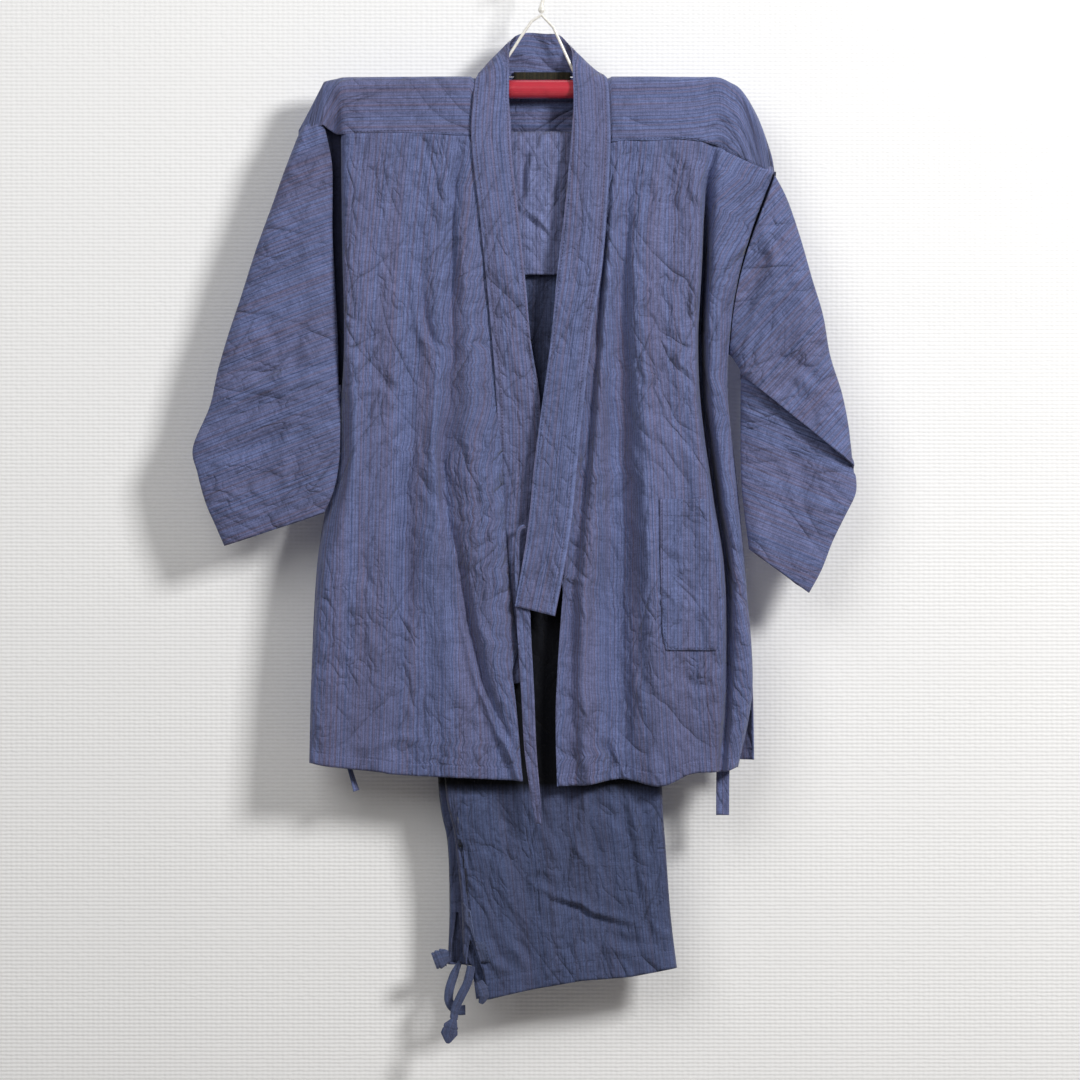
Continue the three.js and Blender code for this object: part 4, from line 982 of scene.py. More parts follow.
@dataclass
class Sleeve:
    """A sleeve as one tube with its stripes round the arm."""

    name: str
    rings: tuple[Ring, ...]
    creases: tuple[Crease, ...]
    crumple: Crumple
    stripes: tuple[float, float]  # how steeply the stripes rise to the right, before and after the fold, in degrees
    flap: tuple[int, int] | None = None  # the rings between which it folds over itself
    bow_skew: float = 1.12
    crease_height: float = 1.6
    crease_waves: int = 3
    front_points: int = 56
    back_points: int = 40
    cuff_turn: float = 20.0
    spacing: float = 2.4
    grid: Array = field(init=False)
    stitch_rows: dict[str, Array] = field(init=False)

    def build(self) -> bpy.types.Object:
        """Builds the sleeve from its rings, with its cuff turned up and stitched."""
        table = np.array([[*r.outer, *r.inner, r.front, r.back, r.tuck, r.bow] for r in self.rings], float)
        last = len(table) - 1
        rows = even(lambda k: along(table[:, [0, 4, 1]], k), last, self.spacing)
        if self.flap:
            near = np.linspace(self.flap[0] - 0.06, self.flap[1] + 0.3, 16)
            rows = np.unique(np.concatenate([rows, near]))
        read = along(table, rows)
        if self.flap:
            inside = (rows > self.flap[0] - 1) & (rows < self.flap[1] + 1)
            read[inside] = np.stack([np.interp(rows[inside], range(last + 1), table[:, c]) for c in range(8)],
                                    axis=-1)
        s = np.concatenate([np.linspace(0, 1, self.front_points + 1), np.linspace(1, 0, self.back_points + 1)[1:-1]])
        face = np.where(np.arange(len(s)) <= self.front_points, 1.0, -1.0)
        face[[0, self.front_points]] = 0
        t = (1 - np.cos(np.pi * s)) / 2
        ox, oy, ix, iy, front, back, tuck, bow = (read[:, c:c + 1] for c in range(8))
        swell = (1 - np.abs(2 * t - 1) ** 2.6) ** 0.5
        x = ox + (ix - ox) * t - bow * np.sin(np.pi * t ** self.bow_skew)
        y = oy + (iy - oy) * t - np.where(face > 0, tuck * swell ** 0.5, 0)
        lift = self.crumple.lift(x, y + 300 * (face < 0)) + sum(c.lift(x, y) for c in self.creases) * (face > 0)
        lift = lift * swell + self.crease_height * np.sin(np.pi * self.crease_waves * t) * swell
        out = (front + back) / 2 + face * ((front - back) / 2 * swell) + face * lift
        grid = np.stack(np.broadcast_arrays(x, out, y), axis=-1)
        run = lengths(np.stack([ox, iy * 0, oy], axis=-1)[:, 0])
        cuff = run[-1] - self.cuff_turn * 0.85
        groove = np.exp(-((run - cuff) / 1.2) ** 2)
        grid[..., 1] -= 0.4 * groove[:, None] * face * swell
        lean = np.radians(np.where(rows <= (self.flap or (99, 99))[0] + 0.5, *self.stripes))[:, None]
        flat = np.concatenate([grid, grid[:, :1]], axis=1)
        across, down, cos, sin = flat[..., 0], flat[..., 2], np.cos(lean), np.sin(lean)
        uv = np.stack([across * sin + down * cos, across * cos - down * sin], axis=-1) * MM
        row = int(np.argmin(np.abs(run - cuff)))
        ahead, behind = grid[row, 2:self.front_points - 1], grid[row, self.front_points + 3:-2]
        self.stitch_rows = {"cuff": ahead + (0, 0.3, 0), "cuff back": behind - (0, 0.3, 0)}
        self.grid = grid
        middle = grid.reshape(-1, 3).mean(0)
        return cloth(self.name, grid, uv, middle, ring=True)


@dataclass(frozen=True)
class Cut:
    """A cut across the collar band: its seam edge and its free edge, each by across, drop and out."""

    seam: Triple
    free: Triple


COLLAR_CUTS = (
    Cut((-46, 716, 18.5), (-13, 712, 20)), Cut((-49, 640, 18), (-12, 636, 20)),
    Cut((-46, 560, 17.5), (-6, 556, 20.5)),
    Cut((-42, 490, 18.5), (-1, 486, 22)), Cut((-43.5, 430, 22.5), (0, 430, 23)),
    Cut((-48, 370, 24.4), (-9, 372, 25.5)),
    Cut((-53, 317, 24.6), (-14, 317, 27)), Cut((-61, 240, 23.7), (-22, 240, 27)),
    Cut((-67, 190, 22.5), (-28, 186, 24.5)),
    Cut((-69, 160, 20.5), (-29, 156, 21)), Cut((-67, 128, 17), (-31, 128, 17)),
    Cut((-66, 117.5, 13.4), (-31, 116, 15)),
    Cut((-65, 108, 9.6), (-31, 99, 12)), Cut((-64, 103.8, 1), (-31.5, 82, 6)), Cut((-63, 101.5, -6), (-31, 70, -4)),
    Cut((-57, 102, -12), (-29, 66, -9)), Cut((-44, 102, -16), (-24, 62, -13)), Cut((-20, 103, -19), (-13, 59, -17)),
    Cut((6, 103, -20), (5, 60, -18)), Cut((30, 103, -19), (19, 61, -17)), Cut((48, 103, -16), (28, 69, -13)),
    Cut((59, 102.5, -12), (32, 75, -6)), Cut((64, 103, -7), (33, 84, 1)), Cut((66.5, 103.8, 1), (33, 96, 8)),
    Cut((68, 108, 9.6), (33, 106, 13)), Cut((69.5, 117.5, 13.4), (33.5, 117, 16)),
    Cut((70, 132, 17), (33.5, 134, 19)),
    Cut((71, 170, 21), (31.5, 165, 24)), Cut((68, 230, 27.5), (25, 236, 30)), Cut((62, 300, 30.5), (17, 305, 33)),
    Cut((53, 355, 32), (12, 360, 34.5)), Cut((46, 415, 33), (5, 414, 35)), Cut((38, 490, 34.5), (-5, 488, 35)),
    Cut((32.5, 547, 35), (-11, 548, 35)), Cut((26, 590, 35), (-17, 590, 35)), Cut((15, 646, 34.5), (-25, 636, 34)),
)


@dataclass
class Collar:
    """The long folded band from front to front round the neck."""

    points_across: int = 18
    spacing: float = 2.6
    crown: float = 0.7
    stitch_in: float = 0.12  # the seam's row of stitches, as a part of the band's width
    stitch_free: float = 0.93
    width: float = 41.0
    groove: float = 0.45
    groove_wide: float = 1.6
    lines: list[Array] = field(init=False)  # where its stitches run

    def build(self) -> bpy.types.Object:
        """Builds the band as a closed flat tube with round edges."""
        table = np.array([(c.seam, c.free) for c in COLLAR_CUTS], float)[..., [0, 2, 1]]
        rows = even(lambda k: along(table.mean(1), k), len(table) - 1, self.spacing)
        ends = along(table, rows)
        seam, free = ends[:, 0], ends[:, 1]
        ahead = np.gradient((seam + free) / 2, axis=0)
        over = free - seam
        normal = np.cross(ahead, over)
        normal *= np.sign((normal * (0, 1, 0))[0].sum()) / np.linalg.norm(normal, axis=1)[:, None]
        n = self.points_across
        t = np.concatenate([np.linspace(0, 1, n), np.linspace(1, 0, n)])
        edge = (1 - np.abs(2 * t - 1) ** 14) ** 0.5
        deep = np.where(np.arange(2 * n) < n, 0.5 + 0.5 * edge, 0.5 - 0.5 * edge)
        run = lengths((seam + free) / 2)
        lift = Crumple(47, height=0.4, size=20, creases=30).lift(*np.broadcast_arrays(t[None] * 40, run[:, None]))
        for place in (self.stitch_in, self.stitch_free):
            lift -= self.groove * np.exp(-((t - place) * self.width / self.groove_wide) ** 2)
        lift += self.crown * np.sin(np.pi * t)[None]
        rise = ((deep - 1) * BAND + lift * (deep > 0.5))[..., None]
        grid = seam[:, None] + over[:, None] * t[None, :, None] + normal[:, None] * rise
        width = np.linalg.norm(over, axis=1)
        around = np.append(np.where(np.arange(2 * n) < n, t, 2 - t), 2.0)
        uv = np.stack(np.broadcast_arrays(around[None] * width[:, None], run[:, None]), axis=-1) * MM
        self.lines = [seam + over * p + normal * 0.3 for p in (self.stitch_in, self.stitch_free)]
        m, last = 2 * n, len(rows) - 1
        places = [(i, j) for i in range(last) for j in range(m)]
        cells = [(i * m + j, i * m + (j + 1) % m, (i + 1) * m + (j + 1) % m, (i + 1) * m + j) for i, j in places]
        coats = np.array([[uv[i, j], uv[i, j + 1], uv[i + 1, j + 1], uv[i + 1, j]] for i, j in places])
        caps = [list(range(m)), list(range(last * m, (last + 1) * m))]
        coats = np.concatenate([coats.reshape(-1, 2), uv[0, :-1], uv[-1, :-1]])
        piece = new_mesh("collar_band", world(grid), cells + caps, coats)
        tidy_normals(piece)
        return piece


@dataclass(frozen=True)
class Tape:
    """A flat tie or cord: its path, its half widths, its turns and what it stands for."""

    name: str
    node: str
    path: tuple[Triple, ...]
    half: tuple[float, ...]
    thick: float
    lean: tuple[float, ...]
    length: float = 0.0  # in metres


TIES = (
    Tape("tie_center_tape", "tie_center",
         ((-15, 31.1, 556), (-22, 31, 564), (-22.5, 31, 605), (-17, 30.8, 640), (-16, 31, 660), (-12.5, 31, 720),
          (-9.5, 31, 780), (-4, 31, 830), (-1.5, 31, 853)),
         (2, 2.2, 2.6, 7, 7, 6.6, 6.2, 5, 3.2), TAPE * 1.3, (0, 8, 6, -6, 4, 0, -8, -20, -30), 0.3),
    Tape("tie_hem_right_tape", "tie_hem_right",
         ((-222.3, 4, 690), (-211, 4, 735), (-191.5, 6, 797), (-184, 7, 821.5)),
         (4, 3.6, 3.2, 4), TAPE * 1.3, (30, 40, 50, 40), 0.137),
    Tape("tie_hem_left_tape", "tie_hem_left",
         ((204.2, 4, 690), (194, 4, 735), (185.5, 5, 775), (183.5, 6, 800), (183, 8, 845.7)),
         (7, 7, 7, 6.6, 6.6), TAPE * 1.3, (0, 0, 6, -6, 4), 0.158),
)


@dataclass
class Jacket:
    """The jacket: two fronts, a back, a yoke, two sleeves, the collar band, a pocket, a label and three ties."""

    fronts_away: Triple = (0, -900, 450)
    back_away: Triple = (0, 900, 450)
    pocket_drops: tuple[float, ...] = (529, 548, 575, 605, 635, 662, 680)
    pocket_left: tuple[float, ...] = (119.4, 119.7, 120, 120.5, 121, 122, 126)
    pocket_right: tuple[float, ...] = (168, 170, 173, 176, 178, 178, 176)
    pocket_hem: float = 17.0
    yoke_stitches: tuple[tuple[float, float], ...] = ((-200, -72), (72, 224))  # the front seam, beside the collar
    armhole_end: float = 415.0  # the drop at which the wearer's right armhole ends
    pocket_lift: float = 1.7
    label_middle: float = 2.0
    label_half: float = 28.5
    label_top: float = 99.0
    label_high: float = 9.0
    label_out: float = -13.4
    seam_deep: float = 2.5  # how far the armhole's seam lies behind the cloth

    def build(self, cotton: bpy.types.Material, thread: bpy.types.Material, label: bpy.types.Material,
              seam: bpy.types.Material) -> None:
        """Builds and dresses every piece of the jacket."""
        slot = JACKET_CLOTH.slot
        right = Panel("front_right_cloth", BODY_LEVELS, FRONT_RIGHT_FOLDS, FRONT_RIGHT_CREASES, Crumple(3), "chest",
                      self.fronts_away, lip=9, lip_end=705)
        left = Panel("front_left_cloth", BODY_LEVELS, FRONT_LEFT_FOLDS, FRONT_LEFT_CREASES, Crumple(11),
                     "pocket plain", self.fronts_away, slit=724, lip=9, lip_end=625)
        back = Panel("back_cloth", BODY_LEVELS, BACK_FOLDS, BACK_CREASES, Crumple(19, creases=60), "mid ridge",
                     self.back_away, side=-1, spacing=3.2, ret=0)
        dress(right.build(), cotton, slot, "front_right")
        dress(left.build(), cotton, slot, "front_left")
        dress(back.build(), cotton, slot, "back")
        yoke = Yoke()
        dress(yoke.build(), cotton, slot, "yoke")
        arm_right = Sleeve("sleeve_right_cloth", SLEEVE_RIGHT_RINGS, SLEEVE_RIGHT_CREASES, Crumple(23, height=1.3),
                           (21, 21))
        arm_left = Sleeve("sleeve_left_cloth", SLEEVE_LEFT_RINGS, SLEEVE_LEFT_CREASES, Crumple(29, height=1.3),
                          (47, -22), flap=(8, 9))
        dress(arm_right.build(), cotton, slot, "sleeve_right")
        dress(arm_left.build(), cotton, slot, "sleeve_left")
        collar = Collar()
        dress(collar.build(), cotton, slot, "collar")
        pocket, pocket_lines = self.pocket(left)
        dress(pocket, cotton, slot, "pocket")
        dress(self.label(), label, LABEL_TAPE.slot, "label")
        self.ties(cotton, slot)
        parts = np.linspace(0, 1, 300)
        inner = arm_right.grid[:, arm_right.front_points]
        # The armhole strips wear the seam finish, which is near-black as painted shade.
        self.armhole("armhole_right_cloth", inner[inner[:, 2] < self.armhole_end],
                     right.smooth(parts, np.array([10.6]))[:, 0], seam, slot)
        outer = arm_left.grid[0, :arm_left.front_points + 1]
        self.armhole("armhole_left_cloth", outer, left.smooth(parts, np.array([10.2]))[:, 0], seam, slot)
        seam_line = yoke.grid[-1]
        x = seam_line[:, 0]
        lines = [seam_line[(x > begin) & (x < end)] + (0, 0.35, -2.0) for begin, end in self.yoke_stitches]
        lines += [right.stitch_rows["hem"], left.stitch_rows["hem"], back.stitch_rows["hem"]]
        lines += [*arm_right.stitch_rows.values(), *arm_left.stitch_rows.values(), *pocket_lines]
        dress(stitches("jacket_stitches", lines), thread, slot)
        dress(stitches("collar_stitches", collar.lines), thread, slot)

    def armhole(self, name: str, sleeve: Array, body: Array, material: bpy.types.Material, slot: str) -> None:
        """Builds the seam allowance that lies deep between a sleeve and the body, in a near-black finish that is
        painted shade for that slit.

        Args:
            name: the piece's name.
            sleeve: the sleeve's edge, downwards.
            body: the body panel's side, downwards.
            material: its material, near-black as painted shade.
            slot: its material slot.
        """
        drop = np.linspace(sleeve[0, 2] - 4, sleeve[-1, 2], 90)
        read = lambda line, c: np.interp(drop, line[:, 2], line[:, c])
        one, two = read(sleeve, 0), read(body, 0)
        t = np.linspace(-0.02, 1.02, 7)
        x = one[:, None] + (two - one)[:, None] * t
        sag = self.seam_deep + 2 * np.sin(np.pi * np.clip(t, 0, 1))
        out = np.minimum(read(sleeve, 1), read(body, 1))[:, None] - sag
        grid = np.stack(np.broadcast_arrays(x, out, drop[:, None]), axis=-1)
        dress(cloth(name, grid, grid[..., [0, 2]] * MM, self.fronts_away), material, slot)

    def pocket(self, front: Panel) -> tuple[bpy.types.Object, list[Array]]:
        """Builds the pocket on the left front, with its lines of stitches."""
        drops = np.linspace(self.pocket_drops[0], self.pocket_drops[-1], 64)
        left = np.interp(drops, self.pocket_drops, self.pocket_left)
        right = np.interp(drops, self.pocket_drops, self.pocket_right)
        t = np.linspace(0, 1, 28)
        x = left[:, None] + (right - left)[:, None] * t
        y = np.broadcast_to(drops[:, None], x.shape)
        out = front.out_at(x, y) + self.pocket_lift
        hem = self.pocket_drops[0] + self.pocket_hem
        gape = 1.2 * soft_step(-y, -560, -532) * np.sin(np.pi * t)[None]
        out = out + 0.5 * (y < hem) - 0.5 * np.exp(-((y - hem) / 1.3) ** 2) + gape
        grid = np.stack([x, out, y], axis=-1)
        uv = np.stack([x, y], axis=-1) * MM
        row = int(np.argmin(np.abs(drops - hem)))
        lines = [grid[row, 1:-1] + (0, 0.3, 0), grid[2:, 1] + (0, 0.3, 0), grid[-2, 1:-1] + (0, 0.3, 0)]
        return cloth("pocket_cloth", grid, uv, self.fronts_away), lines

    def label(self) -> bpy.types.Object:
        """Builds the plain tape at the back neck seam."""
        t, s = np.linspace(0, 1, 24), np.linspace(0, 1, 6)
        x = self.label_middle + self.label_half * (2 * t - 1)
        out = self.label_out + 1.4 * s[:, None] + 0.5 * np.sin(7 * t)[None] * s[:, None]
        y = self.label_top + self.label_high * s[:, None] + 0 * t[None]
        grid = np.stack(np.broadcast_arrays(x[None], out, y), axis=-1)
        return cloth("label_tape", grid, grid[..., [0, 2]] * MM, self.fronts_away, wall=TAPE)

    def ties(self, cotton: bpy.types.Material, slot: str) -> None:
        """Builds the centre tie and the two ties that hang below the hem."""
        for tie in TIES:
            line = cord_path(tie.path, 60)
            piece = dress(strap(tie.name, line, tie.half, tie.thick, tie.lean), cotton, slot, tie.node)
            world(line[0]).tolist()
            2 * max(tie.half) * MM


# ---------- the trousers ----------

LEG_LEVELS = (204.5, 330, 530, 809, 887, 956, 1010)


@dataclass(frozen=True)
class Leg:
    """A trouser leg folded flat: its two edges at each level and its hem along the width."""

    name: str
    node: str
    left: tuple[float, ...]
    right: tuple[float, ...]
    hem_at: tuple[float, ...]
    hem: tuple[float, ...]
    out: tuple[float, ...]
    deep: tuple[float, ...]
    creases: tuple[Crease, ...]
    seed: int
    slit: float  # the drop where the slit beside the left edge starts
    slit_in: float  # how far the slit is from the left edge there
    slit_wide: float  # how wide it stands open at the hem
    top: float = 204.5
    casing: float = 20.0
    spacing: float = 2.8
    patch: tuple[float, float] | None = None  # the drops of the small patch above the slit
    front_points: int = 96
    back_points: int = 48

    def build(self) -> tuple[bpy.types.Object, list[Array], list[bpy.types.Object]]:
        """Builds the leg as a flat tube with its slit and its casing.

        Returns:
            The leg, its lines of stitches, and its patch if it has one.
        """
        levels = np.array(LEG_LEVELS, float)
        parts = np.linspace(0, 1, int((levels[-1] - levels[0]) / self.spacing))
        dense = np.linspace(0, len(levels) - 1, 600)
        rows = np.interp(parts, (along(levels, dense) - levels[0]) / (levels[-1] - levels[0]), dense)
        left, right, out, deep = (along(v, rows)[:, None] for v in (self.left, self.right, self.out, self.deep))
        nf, nb = self.front_points, self.back_points
        s = np.concatenate([np.linspace(0, 1, nf + 1), np.linspace(1, 0, nb + 1)[1:-1]])
        front = np.arange(len(s)) <= nf
        swell = (1 - np.abs(2 * s - 1) ** 9) ** 0.5
        x = left + (right - left) * s
        hem = np.interp(s, self.hem_at, self.hem)
        y = self.top + parts[:, None] * (hem - self.top)
        small = Crumple(self.seed, height=1.1, creases=70).lift(x, y + 500 * ~front)
        lift = small + 1.5 * sum(c.lift(x, y) for c in self.creases) * front
        lift = lift * (0.25 + 0.75 * soft_step(y, 775, 815))  # flat where the jacket covers it
        face = np.where(front, 1.0, -1.0)
        depth = out - deep / 2 + face * deep / 2 * swell + face * lift * swell * 0.8 - face * swell * 0.6
        near_hem = hem - y
        turned = 0.6 * (near_hem < self.casing) - 1.3 * np.exp(-((near_hem - self.casing) / 1.8) ** 2)
        depth = depth + face * turned * swell
        opened = soft_step(y, self.slit, self.slit + 55)
        beyond = np.clip((x - left) / self.slit_in, 0, None)
        pull = opened * self.slit_wide * np.exp(-np.clip(beyond - 1, 0, None) * self.slit_in / 30)
        shift = np.where(front & (beyond >= 1), pull, 0)
        narrowed = left + (x - left) * (1 - 0.55 * soft_step(y, self.slit, self.slit + 40))
        x = np.where(front & (beyond < 1), narrowed, x + shift)
        grid = np.stack([x, depth, y], axis=-1)
        run = np.concatenate([grid, grid[:, :1]], axis=1)[..., 0] * np.append(face, 1)
        down = np.concatenate([y, y[:, :1]], axis=1)
        uv = np.stack([np.append(x[40], x[40, 0])[None] + 0 * run, down], axis=-1) * MM
        jump = int(np.argmax(np.abs(s[:nf] * (right[-1] - left[-1])[0] - self.slit_in) < 2.2))
        row_open = y[:, 0] > self.slit
        keep = lambda i, j: ~((j == jump) & row_open[i])
        row = int(np.argmin(np.abs(near_hem.mean(1) - self.casing)))
        lines = [grid[row, jump + 2:nf - 2] + (0, 0.3, 0), grid[row, nf + 3:-3] - (0, 0.3, 0)]
        extra = []
        if self.patch:
            at, to = (int(np.argmin(np.abs(y[:, 0] - drop))) for drop in self.patch)
            part = (slice(at, to), slice(1, 11))
            lines += [grid[part][-1] + (0, 2.1, 0), grid[part][1:, 0] + (0, 2.1, 0), grid[part][1:, -1] + (0, 2.1, 0)]
            extra = [cloth("patch_cloth", grid[part] + (0, 1.8, 0), uv[part] + 0.03, (0, -900, 900))]
        return cloth(self.name, grid, uv, grid.reshape(-1, 3).mean(0), ring=True, keep=keep), lines, extra


LEG_NEAR = Leg(
    "leg_near_cloth", "leg_near", (-90, -92, -97, -96.5, -86, -79, -77.5), (135, 128, 120, 122, 126, 131, 137.4),
    (0, 0.0417, 0.052, 0.1, 0.33, 0.55, 0.78, 0.88, 1), (985, 997, 1031, 1030, 1020, 1012, 1008, 1004, 999),
    (-3, 4.6, 9, 10.5, 10.5, 10.5, 10.5), (5.5, 8.5, 10, 10, 10, 10, 10),
    (
        Crease(((80, 830), (91.5, 876), (95, 914), (105, 948), (112.5, 975)), -2.4, 5),
        Crease(((-2, 914), (13, 929), (42, 937), (51, 944.5), (99, 958)), -1.8, 3, Profile.STEP),
        Crease(((19, 966), (26, 976), (34, 987)), -1.8, 3, Profile.CRISP),
        Crease(((45, 816), (45.5, 856)), 2.0, 2.6, Profile.CRISP),
        Crease(((44, 858), (50, 880), (60, 900)), 1.4, 5, Profile.STEP),
        Crease(((-40, 812), (-36, 850), (-30, 880)), -2.0, 7),
        Crease(((-55, 966), (-48, 990), (-30, 1000)), 1.8, 5, Profile.STEP),
        Crease(((60, 960), (76, 976), (110, 980)), 1.4, 5, Profile.STEP),
        Crease(((-30, 970), (-18, 984), (-14, 996)), 1.4, 4, Profile.STEP),
        Crease(((-86, 812), (-80, 860), (-75, 915), (-72, 930)), -1.5, 2.2, Profile.CRISP),
        Crease(((24, 816), (26, 850)), -1.7, 6), Crease(((34, 816), (36, 848)), -1.4, 5),
        Crease(((35, 860), (42, 880), (52, 896)), 1.3, 4, Profile.STEP),
        Crease(((98, 830), (104, 872)), 1.3, 5, Profile.STEP),
        Crease(((37, 898), (56, 894), (75, 896)), 1.1, 3, Profile.CRISP),
        Crease(((120, 956), (134, 966)), 1.3, 3, Profile.STEP),
        Crease(((-10, 905), (-2, 914), (12, 922)), 1.2, 4, Profile.STEP),
    ),
    61, 957.0, 10.0, 11.0, patch=(930.5, 952),
)
LEG_FAR = Leg(
    "leg_far_cloth", "leg_far", (-98, -101, -106, -103, -93, -91, -93), (133, 126, 117, 118, 121, 126, 131),
    (0, 0.25, 0.5, 0.75, 1), (996, 1000, 998, 994, 988),
    (-9.4, -4.9, -2, -0.6, -0.6, -0.6, -0.6), (4.8, 7.5, 9.5, 10, 10, 10, 10),
    (Crease(((40, 830), (50, 880), (44, 940)), -2, 6),
     Crease(((-60, 900), (-40, 940), (-20, 980)), 1.6, 5, Profile.STEP)),
    67, 942.0, 7.0, 9.0,
)


TAPES = (
    Tape("cord_near_tape", "cord_near",
         ((-69, 9, 997), (-72.5, 10, 1013), (-79.5, 10.4, 1027.5), (-85, 9.8, 1040), (-86, 9.3, 1051)),
         (4.5, 4.5, 4.5, 4.4, 3.4), 1.8, (-20, -8, 0, 6, 0)),
    Tape("cord_far_tape", "cord_far",
         ((-80, -4, 993), (-86, -2, 1006), (-91, 1, 1022), (-91, 0.5, 1034), (-84, -1, 1041.5), (-75, -2, 1042)),
         (2.6, 4.4, 4.6, 4.4, 5, 5), 1.8, (50, 10, 0, 10, 0, 0)),
)


@dataclass(frozen=True)
class Knot:
    """A knotted or rolled end of flat tape along a line, with turns bound round it."""

    name: str
    node: str
    path: tuple[Triple, ...]
    half: tuple[float, ...]
    thick: tuple[float, ...]
    lean: tuple[float, ...]
    turns: tuple[float, ...]  # where along its line a turn is bound round it, from 0 to 1

    def build(self) -> bpy.types.Object:
        """Builds the end as a thick strap with its turns standing out."""
        n = 60
        t = np.linspace(0, 1, n)
        bound = 1 + sum(0.09 * np.exp(-((t - place) / 0.05) ** 2) - 0.08 * np.exp(-((t - place - 0.1) / 0.025) ** 2)
                        for place in self.turns)
        half, thick = (np.interp(t, np.linspace(0, 1, len(v)), v) * bound for v in (self.half, self.thick))
        return strap(self.name, cord_path(self.path, n), half, thick, self.lean, sides=20)


KNOTS = (
    Knot("knot_near_tape", "knot_near",
         ((-61, 12.5, 1012), (-58, 14.5, 1019), (-56.6, 14.6, 1027), (-59.5, 13.2, 1034)),
         (3.4, 5.4, 5.2, 2.2), (2.6, 4.6, 4, 2), (-20, 0, 15, 0), (0.3, 0.62)),
    Knot("knot_far_tape", "knot_far",
         ((-91.5, -4, 988.5), (-96, -3, 989), (-101, -2, 991), (-106.5, -2, 993)),
         (5.5, 8.6, 9.2, 8.6), (2.6, 5.4, 6, 5.2), (0, 8, -6, 4), (0.42, 0.72)),
    Knot("knot_end_tape", "",
         ((-86, 9.2, 1045), (-86.6, 9.5, 1051), (-89.4, 9.8, 1058), (-91, 9.4, 1065), (-92.4, 8.8, 1074.5)),
         (4, 3.6, 7.4, 8.6, 1.4), (2.4, 3.6, 4, 3.2, 1.4), (0, 0, 12, 8, 0), (0.13, 0.45)),
)


@dataclass
class Trousers:
    """The trousers folded lengthwise, turned over the lower bar at the waist."""

    turn: float = 7.8
    half: float = 4.0
    bar_drop: float = 171.0
    points_across: int = 92
    across: tuple[float, ...] = (-94, -60, -28, -14, 0, 14, 28, 60, 100, 138)
    creases: tuple[Crease, ...] = (
        Crease(((-5, 168), (-12, 190), (-14, 220), (-20, 237)), -2.2, 3.2, Profile.STEP),
        Crease(((-20, 237), (-10, 245), (16, 270)), -2.0, 3, Profile.STEP),
        Crease(((20, 187), (17, 220), (15, 242)), -2.0, 2.6, Profile.CRISP),
        Crease(((0, 166), (3, 176), (-1, 184)), 1.8, 3, Profile.CRISP),
        Crease(((-2, 250), (8, 262), (22, 268)), 1.2, 4, Profile.STEP),
    )

    def build(self, cotton: bpy.types.Material, waist: bpy.types.Material, tie: bpy.types.Material,
              thread: bpy.types.Material) -> None:
        """Builds and dresses every piece of the trousers."""
        # The cotton, waist and tie finishes are copies of one trouser cloth, with painted light at the waist and
        # painted shade on the legs and ties.
        slot = TROUSER_CLOTH_PAINTED_SHADE.slot
        tapes = {tape.node: self.tape(tape) for tape in TAPES}
        knots = {knot.name: knot.build() for knot in KNOTS}
        for name, piece in knots.items():
            dress(piece, tie, slot, *[k.node for k in KNOTS if k.name == name and k.node])
        for tape in TAPES:
            piece, line = tapes[tape.node]
            dress(piece, tie, slot, tape.node)
            world(line[0]).tolist()
            float(lengths(line)[-1]) * MM
            2 * max(tape.half) * MM
            world(line).tolist()
        dress(self.waist(), waist, slot, "waist")
        lines = []
        for leg in (LEG_NEAR, LEG_FAR):
            piece, rows, extra = leg.build()
            lines += rows
            for patch in extra:
                dress(patch, tie, slot)
            dress(piece, cotton, slot, leg.node)
        dress(stitches("trouser_stitches", lines), thread, slot)

    def tape(self, tape: Tape) -> tuple[bpy.types.Object, Array]:
        """Builds a flat cord and gives its middle line."""
        line = cord_path(tape.path, 40)
        return strap(tape.name, line, tape.half, tape.thick, tape.lean), line

    def waist(self) -> bpy.types.Object:
        """Builds the waist part, a flat tube turned over the bar."""
        turn = [(self.turn * math.cos(math.pi * t), self.bar_drop - self.turn * math.sin(math.pi * t), math.pi * t)
                for t in (1, 0.75, 0.5, 0.25, 0)]
        path = np.array([(-self.turn, 204, math.pi), (-self.turn, 188, math.pi), *turn, (8.6, 195, 0), (9, 225, 0),
                         (9, 265, 0), (9, 304, 0)])
        rows = even(lambda k: along(path[:, :2], k), len(path) - 1, 2.2)
        out, drop, lean = (v[:, None] for v in along(path, rows).T)
        nf = self.points_across
        s = np.concatenate([np.linspace(0, 1, nf + 1), np.linspace(1, 0, nf + 1)[1:-1]])
        face = np.where(np.arange(len(s)) <= nf, 1.0, -1.0)
        swell = np.maximum(1 - np.abs(2 * s - 1) ** 10, 0.09) ** 0.5
        x = self.across[0] + (self.across[-1] - self.across[0]) * s + 0 * out
        y = drop + 0 * x
        lift = Crumple(71, height=0.7, creases=60).lift(x, y) + sum(c.lift(x, y) for c in self.creases)
        ahead = soft_step(rows, 5, 7)[:, None]
        wrinkled = face * lift * swell * (face > 0) * (0.25 + 0.75 * ahead)
        far = face * self.half * swell * (0.8 + 0.2 * ahead) + wrinkled
        grid = np.stack([x, out + far * np.cos(lean), drop - far * np.sin(lean)], axis=-1)
        run = lengths(np.stack([out, drop], axis=-1)[:, 0])
        uv = np.stack(np.broadcast_arrays(np.append(x[0], x[0, 0])[None], run[:, None]), axis=-1) * MM
        return cloth("waist_cloth", grid, uv, grid.reshape(-1, 3).mean(0), ring=True)


# ---------- the hanger and the studio ----------

